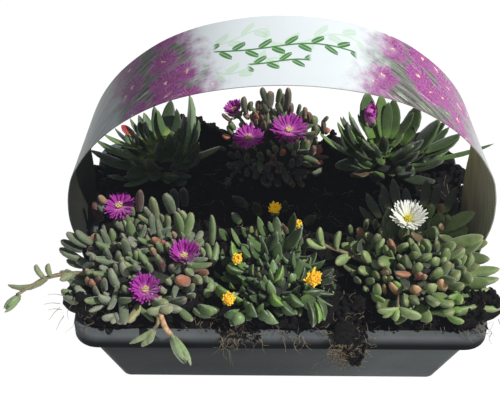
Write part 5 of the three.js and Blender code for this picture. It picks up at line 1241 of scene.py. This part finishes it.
# The section from the floor up the inside, over the rolled lip, round the skirt and down the outside
def trayRings():
    top, skirtZ = rim["height"], rim["height"] - rim["skirt"]
    bend = [math.radians(a) for a in (0, 22, 45, 68, 90)]
    r, inner = rim["round"], rim["round"] - rim["lipThick"]
    rings = [wallRing(z, wall["thick"]) for z in (wall["floor"], 20, 40, wall["straightFrom"], 72.4)]
    rings += [wallRing(73.6, wall["thick"] - 0.4), lipRing(-rim["lip"] + 0.2, top), lipRing(-4.6, top - 0.1)]
    rings += [lipRing(-r + r * math.sin(a), top - r + r * math.cos(a)) for a in bend]
    rings += [lipRing(-inset, skirtZ + lift) for inset, lift in ((0, 0.5), (0.4, 0), (1.2, 0), (1.6, 0.5))]
    rings += [lipRing(-r + inner * math.sin(a), top - r + inner * math.cos(a)) for a in reversed(bend)]
    foot = wall["footRound"]
    rings += [wallRing(z, 0) for z in (top - rim["lipThick"], wall["straightFrom"], 40, 20, foot)]
    rings += [wallRing(0.9, 0.5), wallRing(0.2, 1.4), wallRing(0, foot), wallRing(0, 6)]
    return np.array([*rings, wallRing(wall["floor"], 6)])


def addClosedLoop(heap, rings):  # each ring joins the next, and the last joins the first
    rows, around = rings.shape[:2]
    j, k = np.arange(rows)[:, None], np.arange(around)[None, :]
    nextJ, nextK = (j + 1) % rows, (k + 1) % around
    corners = (j * around + k, j * around + nextK, nextJ * around + nextK, nextJ * around + k)
    heap.add(rings.reshape(-1, 3), [np.stack(np.broadcast_arrays(*corners), -1).reshape(-1, 4)])


footX = rim["halfX"] - rim["lip"] - wall["taperX"] - wall["stepX"]
footY = rim["halfY"] - rim["lip"] - wall["taper"]
floorX, floorY = footX - wall["footRound"], footY - wall["footRound"]


# A flat tile round a hole, as four rings that close on themselves. Points of its outer edge that pass the
# floor's corner radius are drawn in to it
def tileRings(x0, x1, y0, y1, steps=8):
    share = np.arange(steps) / steps
    flat = lambda x, y: np.stack(np.broadcast_arrays(x, y), -1)
    edge = np.concatenate([flat(mix(x1, x0, share), y1), flat(x0, mix(y1, y0, share)),
                           flat(mix(x0, x1, share), y0), flat(x1, mix(y0, y1, share))])
    foot, corner = np.array([floorX, floorY]), wall["footCorner"]
    over = np.abs(edge) - (foot - corner)
    inCorner = (over > 0).all(1)
    pull = np.where(inCorner, corner / np.maximum(np.hypot(*over.T), corner), 1)
    edge = np.where(inCorner[:, None], np.sign(edge) * (foot - corner + over * pull[:, None]), edge)
    middle = np.array([x0 + x1, y0 + y1]) / 2
    middle = middle + np.sign(middle) * wall["footRound"] / 2
    spoke = edge - middle
    hole = middle + spoke / np.linalg.norm(spoke, axis=1, keepdims=True) * wall["drain"]
    lift = lambda ring, z: np.column_stack([ring, np.full(len(ring), z)])
    return np.array([lift(edge, 0), lift(hole, 0), lift(hole, wall["floor"]), lift(edge, wall["floor"])])


def addDivider(heap, x, halfSizes):  # a wall between cells: four corners of its half sizes at each height
    corners = np.array([[-1, -1], [1, -1], [1, 1], [-1, 1]])
    addLoft(heap, [np.column_stack([corners * halfSizes(z, thick) + [x, 0], np.full(4, z)])
                   for z, thick in divider["sections"]])


trayPaint = Paint("trayPlastic", specular=0.04)
noise, ramp = trayPaint.noise, trayPaint.ramp
cloud = noise(24, 4)
dust = ramp(noise(150, 5, 0.7), 0.56, 0.8)
across, height = [trayPaint.node("SeparateXYZ", {}, {0: trayPaint.places()}, k) for k in (0, 2)]
# The tray is one black plastic: its colours by height and side are painted light and shade, with random
# clouds and dust over them
trayColour = trayPaint.layers(
    (38, 42, 43),
    (ramp(across, -0.06, 0.1), (84, 90, 90)),  # the wall, paler towards the light
    # painted shade: the lower left of the wall darker, away from the sun
    (ramp(height, 0.045, 0.0) * ramp(across, 0.06, -0.02) * 0.7, (22, 24, 27)),
    # painted shade: the skirt near black, darker than the rest of the same plastic
    (ramp(height, 0.0606, 0.0612), (7, 8, 9)),  # the skirt
    # painted highlight: the lip's top lighter, where sun and sky fall on it
    (ramp(height, 0.0655, 0.0738), (92, 95, 96)),  # the lip
    (ramp(cloud, 0.3, 0.7) * 0.25, (14, 15, 16)),
    (dust * 0.16, (92, 88, 80)),
)
trayPaint.feed(baseColor=trayColour, roughness=0.34 + 0.14 * cloud + 0.3 * dust,
               normal=trayPaint.bump(noise(5200, 2) + 2 * cloud, 0.0001))

trayHeap = Heap()
addClosedLoop(trayHeap, trayRings())
for x0, x1 in ((-floorX, -divider["x"]), (-divider["x"], divider["x"]), (divider["x"], floorX)):
    for y0, y1 in ((-floorY, 0), (0, floorY)):
        addClosedLoop(trayHeap, tileRings(x0, x1, y0, y1))
for x in (-divider["x"], divider["x"]):
    addDivider(trayHeap, x, lambda z, thick: (
        thick, rim["halfY"] - divider["ends"] - wall["taper"] * (1 - z / divider["height"])))
addDivider(trayHeap, 0, lambda z, thick: (footX - 1 + wall["taperX"] * z / divider["height"], thick))
trayHeap.piece("trayShell", [trayPaint], "tray_plastic", ["tray"], 35)
print("tray made")


# The carry band: a strip between a back and a front edge, each a smooth arch with straight ends in the slots

def bandPath(share, steps=8):  # the back edge, or the front edge when the share is 1
    back, front, height = band["outline"].T
    over = np.maximum(height - band["sagFrom"], 0)
    sag = share * band["sag"] * over ** 2 / (over + band["sagEase"])
    arch = np.stack([mix(back, front, share), height - sag], -1)
    arch = smoothPath(np.vstack([arch, arch[-2::-1] * [-1, 1]]), steps)
    return np.vstack([[arch[0, 0], band["end"]], arch, [arch[-1, 0], band["end"]]])


# Rings of the outer face from front to back and of the inner face from back to front. Each point also keeps
# its place on the card in units of 100 mm: along the arch from its crown, and across it
def bandHeap(acrossSteps=8):
    shares = 1 - np.arange(acrossSteps + 1) / acrossSteps
    y = mix(band["backY"], band["frontY"], shares)
    path = np.stack([bandPath(share) for share in shares], 1)
    tangent = unit(np.gradient(path, axis=0))
    normal = np.stack([tangent[..., 1], -tangent[..., 0]], -1)  # outwards from the arch
    along = np.cumsum(np.linalg.norm(np.diff(path[:, acrossSteps // 2], axis=0), axis=1))
    along = along[-1] / 2 - np.concatenate([[0], along])
    half = normal * band["thick"] / 2
    faces = np.concatenate([path + half, (path - half)[:, ::-1]], 1)
    across = np.concatenate([y, y[::-1]])
    rings = np.stack([faces[..., 0], np.broadcast_to(across, faces.shape[:2]), faces[..., 1]], -1)
    outside = np.concatenate([np.ones(len(y)), np.zeros(len(y))])
    place = np.stack(np.broadcast_arrays(along[:, None] * 0.01, across[None] * 0.01, outside[None], 0.0), -1)
    points = skinPoints(rings[None], rings[:1].mean(1), rings[-1:].mean(1))[0]
    places = np.vstack([place[:1].mean(1), place.reshape(-1, 4), place[-1:].mean(1)])
    heap = Heap()
    heap.add(points, skinFaces(1, len(path), rings.shape[1]), place=places)
    return heap


# The print: soft ray flowers and streaks of foliage at both sides, which fade to bare card both ways, and
# leafy sprigs in the middle
bandPrint = dict(flower=23, right=(44, 78, 172, 140), left=(46, 72, 142, 116), sprigTurn=0.62)
paleGreen, sprigGreen = (158, 200, 142), (70, 122, 58)
sprigs = [  # middle, crossing, wave, height, half length, step, size of the leaves, strength and colour
    (-22, -14, 9, 6, 26, 9, 7, 0.45, paleGreen), (20, 12, 12, 7, 36, 10, 8, 0.4, paleGreen),
    (-30, 15, 10, 5, 20, 9, 7, 0.4, paleGreen), (0, 4, 16, 3, 50, 9, 6.4, 1, sprigGreen),
    (-4, -11, 10, 2, 22, 8.5, 5.6, 1, sprigGreen),
]


# The stem is crossing = height sin(arc / wave), the leaves are turned ellipses at even steps, by turns above
# and below it
def sprig(paint, arc, crossing, middle, wave, height, halfLength, step, size):
    off = crossing - ((arc - middle) / wave).does("SINE") * height
    within = paint.ramp((arc - middle).does("ABSOLUTE"), halfLength, halfLength - 3)
    stem = paint.ramp(off.does("ABSOLUTE"), 0.95, 0.45)
    cell = ((arc - middle) / step).does("FLOOR")
    parity = 1 - 2 * (cell.does("MODULO", 2).does("ABSOLUTE"))
    u = (((arc - middle) / step) - cell - 0.5) * step
    v = off - parity * size * 0.62
    cosine, sine = math.cos(bandPrint["sprigTurn"]), math.sin(bandPrint["sprigTurn"])
    p = u * cosine + v * parity * sine
    q = v * parity * cosine - u * sine
    leaf = paint.ramp((p / size) ** 2 + (q / (size * 0.36)) ** 2, 1.15, 0.8)
    vein = paint.ramp(q.does("ABSOLUTE"), 0.2, 0.5)
    return (stem.does("MAXIMUM", leaf * (0.55 + 0.45 * vein))) * within


bandPaint = Paint("bandCard", roughness=0.42, coatWeight=0.1, coatRoughness=0.25, specular=0.3)
noise, ramp, blend, layers = bandPaint.noise, bandPaint.ramp, bandPaint.blend, bandPaint.layers
_, arc, crossing, outside, _ = bandPaint.attribute("place")
arc, crossing = arc * 100, crossing * 100 + 8
away = arc.does("ABSOLUTE")
onPaper = lambda x, y: bandPaint.node("CombineXYZ", {}, {0: x, 1: y})
flat = onPaper(arc, crossing)
blur = noise(0.09, 3, 0.6, flat)
fine = noise(0.6, 3, 0.6, flat)
warped = onPaper(arc + (fine - 0.5) * 7 + blur * 12, crossing + (noise(0.35, 2, 0.5, flat) - 0.5) * 9)
cells = [bandPaint.node("TexVoronoi", dict(voronoi_dimensions="2D"), dict(
    Vector=warped, Scale=1 / bandPrint["flower"], Randomness=0.9), output)
    for output in ("Distance", "Position", "Color")]
distance, cellPick = cells[0], bandPaint.node("SeparateColor", {}, {0: cells[2]}, 0)
offset = bandPaint.node("VectorMath", dict(operation="SUBTRACT"), {0: warped, 1: cells[1]})
offsetX, offsetY = [bandPaint.node("SeparateXYZ", {}, {0: offset}, k) for k in (0, 1)]
rays = (offsetY.does("ARCTAN2", offsetX) * 17 + fine * 14 + cellPick * 6).does("SINE") * 0.5 + 0.5
flowers = ramp(distance - (0.34 + 0.16 * cellPick + 0.16 * rays), 0.06, -0.08)
streaks = noise(1, 3, 0.6, onPaper(away * 0.16 + crossing * 0.3, crossing * 0.03 - away * 0.02))
lines = noise(1, 2, 0.5, onPaper(away * 0.3 + crossing * 0.62 + blur * 3, crossing * 0.02 - away * 0.04))
petalShade = layers(
    (112, 26, 96), (rays, (184, 92, 168)), (ramp(distance, 0.16, 0.05) * 0.8, (172, 44, 84)),
    (ramp(distance, 0.075, 0.04), (236, 214, 214)),
)
printed = layers(
    (52, 58, 50), (ramp(streaks, 0.3, 0.68), (126, 142, 118)), (ramp(fine, 0.45, 0.62) * 0.6, (134, 84, 122)),
    (ramp(lines, 0.62, 0.68) * 0.8, (178, 198, 160)), (flowers * 0.85, petalShade),
    (ramp(lines, 0.66, 0.7) * 0.5, (206, 200, 196)),
)
card = blend(noise(0.03, 3, 0.5, flat), (206, 212, 213), (220, 224, 224))
for middle, over, *form, strength, colour in sprigs:
    card = blend(sprig(bandPaint, arc, crossing - over, middle, *form) * strength, card, colour)
uneven = (blur - 0.5) * 40 - crossing * 0.3
sides = []
for sign, (inner0, inner1, outer1, outer0) in ((1, bandPrint["right"]), (-1, bandPrint["left"])):
    place = arc * sign + uneven
    sides.append(ramp(place, inner0, inner1) * ramp(place, outer1, outer0))
edgeCard = blend(ramp(streaks, 0.35, 0.65) * 0.7, (176, 180, 180), (120, 126, 120))
face = layers(card, (ramp(away, 96, 150), edgeCard), (sides[0].does("MAXIMUM", sides[1]), printed))
# painted shade: the outer face darker towards its left end, which is turned from the sun
face = blend(ramp(arc, -20, -120), face, (176, 182, 180), "MULTIPLY")
# The inner face: cream, made paler and yellower than bare card as a painted glow of sun shining through it
back = layers((172, 170, 146), (ramp(crossing, -33, 33), (206, 188, 140)),
              (ramp(streaks, 0.3, 0.7) * 0.5, (104, 98, 78)))
# painted shade: the inner face darker over its left half
back = blend(ramp(arc, 20, -20), back, (72, 78, 84), "MULTIPLY")
bandPaint.feed(baseColor=blend(ramp(outside, 0.4, 0.6), back, face), normal=bandPaint.bump(blur, 0.0004, 0.4))
bandHeap().piece("bandStrip", [bandPaint], "band_card", ["carry_band"], 35)
print("band made")


# The soil: a crumbly crust over the tray, a plain block in its cells, and the clump that hangs over the front

crust = dict(columns=210, rows=140, halfY=101.5, ragged=1.6, raggedFrom=0.9, foot=0.985)
crumbs = dict(small=2400, smallSize=(0.6, 2.2), large=520, largeSize=(1.4, 3.8), spreadX=5, spreadY=3.5)
fibres = dict(count=300, step=(1.2, 3.6), above=(1.2, 3.2), bend=0.6, radius=(0.14, 0.34))


# The crust: a grid drawn out to the soil's border with rounded corners, raised to its height with crumbs of
# three sizes, and closed by a side and a floor
def soilCrust(heap):
    columns, rows, ragged = crust["columns"], crust["rows"], crust["ragged"]
    u, v = np.meshgrid(np.linspace(-1, 1, columns), np.linspace(-1, 1, rows))
    roughY = v * crust["halfY"]
    atSides = np.abs(u) > crust["raggedFrom"]
    x = u * (soilHalfX(roughY, np.sign(u)) + ragged * lattice(u * 0 + roughY, u * 3, 5, 5) * atSides)
    y = v * (soilHalfY(x, np.sign(v)) + ragged * lattice(x, v * 3, 5, 6))
    overX = np.abs(x) - (soilHalfX(y, np.sign(x)) - soil["corner"])
    overY = np.abs(y) - (soilHalfY(x, np.sign(y)) - soil["corner"])
    corner = (overX > 0) & (overY > 0)
    pull = np.where(corner, np.maximum(overX, overY) / np.maximum(np.hypot(overX, overY), 1e-6), 1)
    z = soilHeight(x, y)
    x = np.where(corner, np.sign(x) * (np.abs(x) - overX + overX * pull), x)
    y = np.where(corner, np.sign(y) * (np.abs(y) - overY + overY * pull), y)
    crumbly = 1.5 * lattice(x, y, 8, 1) + 1.4 * np.abs(lattice(x, y, 4.2, 2)) + 0.9 * lattice(x, y, 2.2, 3)
    z = z + crumbly * mix(0.4, 1, 1 - np.maximum(np.abs(u), np.abs(v)) ** 12)
    top = np.stack([x, y, z], -1).reshape(-1, 3)
    at = np.arange(columns * rows).reshape(rows, columns)
    quads = np.stack([at[:-1, :-1], at[:-1, 1:], at[1:, 1:], at[1:, :-1]], -1).reshape(-1, 4)
    border = np.concatenate([at[0, :-1], at[:-1, -1], at[-1, :0:-1], at[:0:-1, 0]])
    base = top[border] * [crust["foot"], crust["foot"], 0] + [0, 0, soil["base"]]
    points = np.vstack([top, base, [[0, 0, soil["base"]]]])
    low = len(top) + np.arange(len(border))
    sides = np.stack([np.roll(border, -1), border, low, np.roll(low, -1)], -1)
    floor = np.stack([np.roll(low, -1), low, np.full(len(low), len(points) - 1)], -1)
    heap.add(points, [quads, sides, floor])


clumpRings = np.array([  # middle, half width and half depth
    [47, -92, 77, 9, 6], [46, -104, 79.5, 9, 4.2], [44, -113.5, 77, 8, 2.6], [47, -114, 68, 6, 2.4],
    [46, -114.2, 61, 5, 2], [50, -113.8, 54, 2.4, 1.4], [51, -113.4, 50, 1, 1],
])


def soilClump(heap):  # uneven rings, flat where the path lies on the soil and upright where it hangs
    path = smoothPath(clumpRings, 5)
    steep = np.clip(smoothPath(np.minimum(np.arange(len(clumpRings)) / 3, 1)[:, None], 5), 0, 1)
    angle = turnsOf(18)[None]
    x, y, z, wide, deep = [path[:, k:k + 1] for k in range(5)]
    rough = 1 + 0.3 * lattice(z * 2 + y, angle * 6, 2.2, 9)
    out = (deep * np.sin(angle)) * rough
    addLoft(heap, np.stack([x + wide * 0.8 * np.cos(angle) * rough, y - out * steep * 0.6,
                            z + out * (1 - steep)], -1))


def addCrumbs(heap, at, sizes, seed):  # small lumps: two uneven rings between two points, turned at random
    chance = np.random.default_rng(seed)
    count, around = len(at), 5
    angle = turnsOf(around)[None, None]
    angle = angle + chance.uniform(0, 6, (count, 1, 1))
    wide = chance.uniform(0.65, 1.25, (count, 2, around))
    height = np.array([-0.42, 0.42])[None, :, None] + chance.uniform(-0.2, 0.2, wide.shape)
    ball = np.stack([np.cos(angle) * wide, np.sin(angle) * wide, height], -1)
    turn = np.linalg.qr(chance.normal(size=(count, 3, 3)))[0]
    turn[np.linalg.det(turn) < 0] *= -1
    scaled = turn * sizes[:, None, None]
    start, end = scaled[:, :, 2] * -0.9 + at, scaled[:, :, 2] * 0.9 + at
    rings = np.einsum("nij,nrkj->nrki", scaled, ball) + at[:, None, None]
    heap.add(skinPoints(rings, start, end), skinFaces(count, 2, around))


soilPaint = Paint("peat", roughness=0.95, specular=0.15)
coarse = soilPaint.noise(420, 5, 0.7)
fine = soilPaint.noise(1600, 3, 0.8)
soilColour = soilPaint.layers(
    (14, 14, 15), (soilPaint.ramp(coarse, 0.35, 0.7), (35, 31, 28)),
    (soilPaint.ramp(fine, 0.66, 0.8) * 0.45, (104, 92, 74)),
)
soilPaint.feed(baseColor=soilColour, normal=soilPaint.bump(coarse + 0.6 * fine, 0.0018))
rootPaint = plainPaint("root", (70, 60, 44), (146, 128, 98), 700, 0.8, 0.0003)

soilHeap = Heap()
soilCrust(soilHeap)
addLoft(soilHeap, [wallRing(z, wall["thick"] + 0.4) for z in (2.4, 30, 57.5, 75)])
soilClump(soilHeap)


def onSoil(x, y):  # which of the points lie on the crust, and their places on it
    overX = soil["corner"] + np.abs(x) - soilHalfX(y, np.sign(x))
    overY = soil["corner"] + np.abs(y) - soilHalfY(x, np.sign(y))
    over = np.where((overX > 0) & (overY > 0), np.hypot(overX, overY), np.maximum(overX, overY))
    x, y = x[over < soil["corner"] - 1], y[over < soil["corner"] - 1]
    return np.stack([x, y, soilHeight(x, y)], -1)


chance = np.random.default_rng(77)
small = onSoil(*[chance.uniform(-half, half, crumbs["small"]) for half in (160, 104)])
size = chance.uniform(*crumbs["smallSize"], len(small)) ** 1.2
addCrumbs(soilHeap, small + up * size[:, None] * 0.6, size, 78)
edgeTurn = chance.uniform(0, 2 * math.pi, crumbs["large"])  # bigger lumps round the border
edgeX = np.clip(1.25 * np.cos(edgeTurn), -1, 1) * 156 + chance.normal(0, crumbs["spreadX"], crumbs["large"])
edgeY = np.clip(1.25 * np.sin(edgeTurn), -1, 1) * 99 + chance.normal(0, crumbs["spreadY"], crumbs["large"])
large = onSoil(edgeX, edgeY)
size = chance.uniform(*crumbs["largeSize"], len(large))
addCrumbs(soilHeap, large + up * size[:, None] * 0.3, size, 79)

# Ragged heaps along the back, left and right edges: middle of the foot, height and half width
soilHeaps = [
    (-93, 101, 24, 6), (-85, 101, 33, 6), (-77, 101, 27, 6), (-68, 101, 21, 6), (-57, 101, 22, 6),
    (-47, 101, 17, 5), (46, 101, 16, 6), (-149, 62, 7, 6), (141, 62, 12, 5), (138, 80, 9, 6),
    (-147, 42, 6, 6), (-149, 51, 7, 6), (147, 41, 6, 6), (147, 51, 8, 6), (146, 66, 8, 6), (145, 28, 5, 7),
    (150, 58, 6, 5),
]
for number, (x, y, tall, wide) in enumerate(soilHeaps):
    chance = np.random.default_rng(600 + number)
    share = chance.random(tall * 3) ** 1.2
    aside = chance.normal(size=(2, len(share))) * wide * (1 - 0.8 * share) * 0.6
    foot = soil["top"] - 3
    at = np.stack([x + aside[0], y + np.minimum(aside[1], 2), foot + share * tall * 0.9], -1)
    addCrumbs(soilHeap, at, chance.uniform(1.2, 3.4, len(at)) * (1.2 - 0.6 * share), 640 + number)


def strand(points, radius):  # a thin root along a smooth path, thinner towards its end
    path = smoothPath(points, 3)
    addTube(soilHeap, path, np.linspace(radius, radius * 0.4, len(path)), 4, 1)


# Loose fibres on the soil: each a short bent path that follows the ground
chance = np.random.default_rng(81)
fibreX, fibreY = [chance.uniform(*ends, fibres["count"]) for ends in ((-155, 155), (-101, 60))]
for x, y, _ in onSoil(fibreX, fibreY):
    turn = np.cumsum(np.append(chance.uniform(0, 2 * math.pi), chance.normal(0, fibres["bend"], 4)))
    step = chance.uniform(*fibres["step"])
    at = np.cumsum(np.stack([np.cos(turn), np.sin(turn)], -1) * step, axis=0) + [x, y]
    z = soilHeight(*at.T) + chance.uniform(*fibres["above"], 5)
    strand(np.column_stack([at, z]), chance.uniform(*fibres["radius"]))

# Roots and dirt that hang over the front rim, laid out by their way over it: from soil to lip, skirt and wall
overRim = np.array([[0, -96, 82.5], [6, -103, 77.5], [11, -108.5, 75.4], [15, -112.4, 72.6], [20, -113.2, 67],
                    [26, -113.2, 60], [34, -112.4, 52], [46, -110.6, 40], [60, -107, 26], [80, -104, 6]])
overRoots = [  # count, x from and to, start from and to, length from and to, curl, radius
    (34, -44, -15, 1, 14, 7, 20, 0.8, 0.26), (5, -45, -36, 8, 12, 14, 24, 0.3, 0.3),
    (3, -19, -16, 8, 12, 12, 18, 0.3, 0.3), (3, 0, 4, 6, 10, 12, 18, 0.3, 0.3),
    (5, 12, 18, 6, 12, 10, 18, 0.4, 0.3), (70, 36, 58, 2, 22, 8, 20, 0.9, 0.36),
    (90, 40, 56, 14, 34, 8, 18, 0.8, 0.34), (2, -39, -35, 16, 20, 18, 28, 0.2, 0.26),
    (4, 37, 45, 20, 26, 22, 34, 0.25, 0.3), (12, 134, 149, 1, 8, 7, 16, 0.7, 0.26),
    (46, -70, 120, 0, 6, 4, 12, 0.8, 0.24), (10, -156, -120, 0, 5, 5, 12, 0.6, 0.22),
]
overDirt = [  # count, x from and to, way from and to, size
    (170, -44, -15, 0, 15, 1.5), (60, -75, 35, 0, 9, 1.3), (260, 38, 62, 2, 34, 2.1),
    (60, 62, 150, 0, 8, 1.5),
]
clumpRoots = dict(above=0.3, lift=1.8)  # roots thicker than this grow out of the hanging clump
clumpDirt = dict(above=2, lift=3, narrows=0.75, leans=0.12)  # and so does dirt coarser than this


def rimPlace(x, way, lift):  # a point on the way over the rim, lifted off it: upwards at first, then forwards
    y = np.interp(way, overRim[:, 0], overRim[:, 1]) - lift * np.clip(way / 14, 0, 1)
    z = np.interp(way, overRim[:, 0], overRim[:, 2]) + lift * np.clip(1 - way / 14, 0, 1)
    return np.stack([x, y, z], -1)


chance = np.random.default_rng(91)
steps = 7
for count, x0, x1, start0, start1, long0, long1, curl, radius in overRoots:
    for k in range(count):
        turn = np.cumsum(chance.normal(0, curl, steps)) + chance.normal(0, curl)
        step = chance.uniform(long0, long1) / steps
        x = chance.uniform(x0, x1) + np.cumsum(np.sin(turn)) * step
        way = chance.uniform(start0, start1) + np.cumsum(np.cos(turn)) * step
        lift = 0.4 + np.abs(np.cumsum(chance.normal(0, 0.5, steps)))
        lift = lift + (clumpRoots["lift"] if radius > clumpRoots["above"] else 0)
        strand(rimPlace(x, np.clip(way, 0, 79), lift), chance.uniform(0.45, 1.15) * radius)
for number, (count, x0, x1, way0, way1, size) in enumerate(overDirt):
    onClump = size > clumpDirt["above"]
    way = mix(way0, way1, chance.random(count) ** 1.3)
    narrow = 1 - clumpDirt["narrows"] * onClump * (way - way0) / (way1 - way0)
    x = (x0 + x1) / 2 + (chance.random(count) - 0.5) * (x1 - x0) * narrow + way * clumpDirt["leans"] * onClump
    sizes = chance.uniform(0.35, 1, count) * size
    lift = sizes * 0.3 + (chance.random(count) * clumpDirt["lift"] if onClump else 0)
    addCrumbs(soilHeap, rimPlace(x, way, lift), sizes, 95 + number)

# Hairs at the left and right ends of the soil, and straws between the plants: start and way
for x, y, z, *way in (
        (-158, -80, 84, -11, -2, 3), (-160, -86, 82, -12, 0, -1), (-158, -92, 82, -9, -4, 4),
        (-160, -88, 80, -8, -6, -7), (-156, -96, 80, -6, -6, -9), (160, -84, 82, 8, -2, 3),
        (158, -92, 80, 6, -6, -8), (156, -96, 80, 4, -6, -10), (35, 28, 88, 8, -3, 4), (70, -17, 90, 7, 2, 2),
        (47, -20, 90, 5, -5, 5), (58, -26, 90, -3, -6, 6)):
    start, bend = np.array([x, y, z], float), np.array(way, float)
    strand([start, start + bend * 0.5 + up * 1.2, start + bend], 0.3)
soilHeap.piece("soilCrust", [soilPaint, rootPaint], "soil", ["soil_" + name for name in plantNames])
print("soil made", soilHeap.count)


# A plain floor, as bright as paper, and light

floorPaint = Paint("floor", roughness=0.9, baseColor=(0.03, 0.03, 0.03, 1), emissionColor=(1, 1, 1, 1),
                   emissionStrength=1.0, specular=0.0)
floorHeap = Heap()
ring = turnsOf(96)
addLoft(floorHeap, [np.stack([np.cos(ring) * r, np.sin(ring) * r, np.full(96, z)], -1)
                    for r, z in ((10, -1), (5000, -1), (5000, 0), (10, 0))])
floor = linked("floor", bpy.data.meshes.new("floor"))
floor.data.from_pydata((np.vstack(floorHeap.points) * millimetre).tolist(), [], floorHeap.faces)
floor.data.materials.append(floorPaint.material)
floor.location.z = -0.0005

light = dict(sun=4.2, towards=(0.62, -0.2, 0.76), size=0.6, sky=(0.8, 0.9, 1.0), skyStrength=0.26)
sunData = bpy.data.lights.new("sun", "SUN")
sunData.energy = light["sun"]
sunData.angle = math.radians(light["size"])
sun = linked("sun", sunData)
sun.rotation_euler = Vector(light["towards"]).to_track_quat("Z", "Y").to_euler()
world = bpy.data.worlds.new("sky")
world.use_nodes = True
world.node_tree.nodes["Background"].inputs["Color"].default_value = (*light["sky"], 1)
world.node_tree.nodes["Background"].inputs["Strength"].default_value = light["skyStrength"]
bpy.context.scene.world = world
bpy.context.scene.view_settings.view_transform = "Standard"
print("lights set")
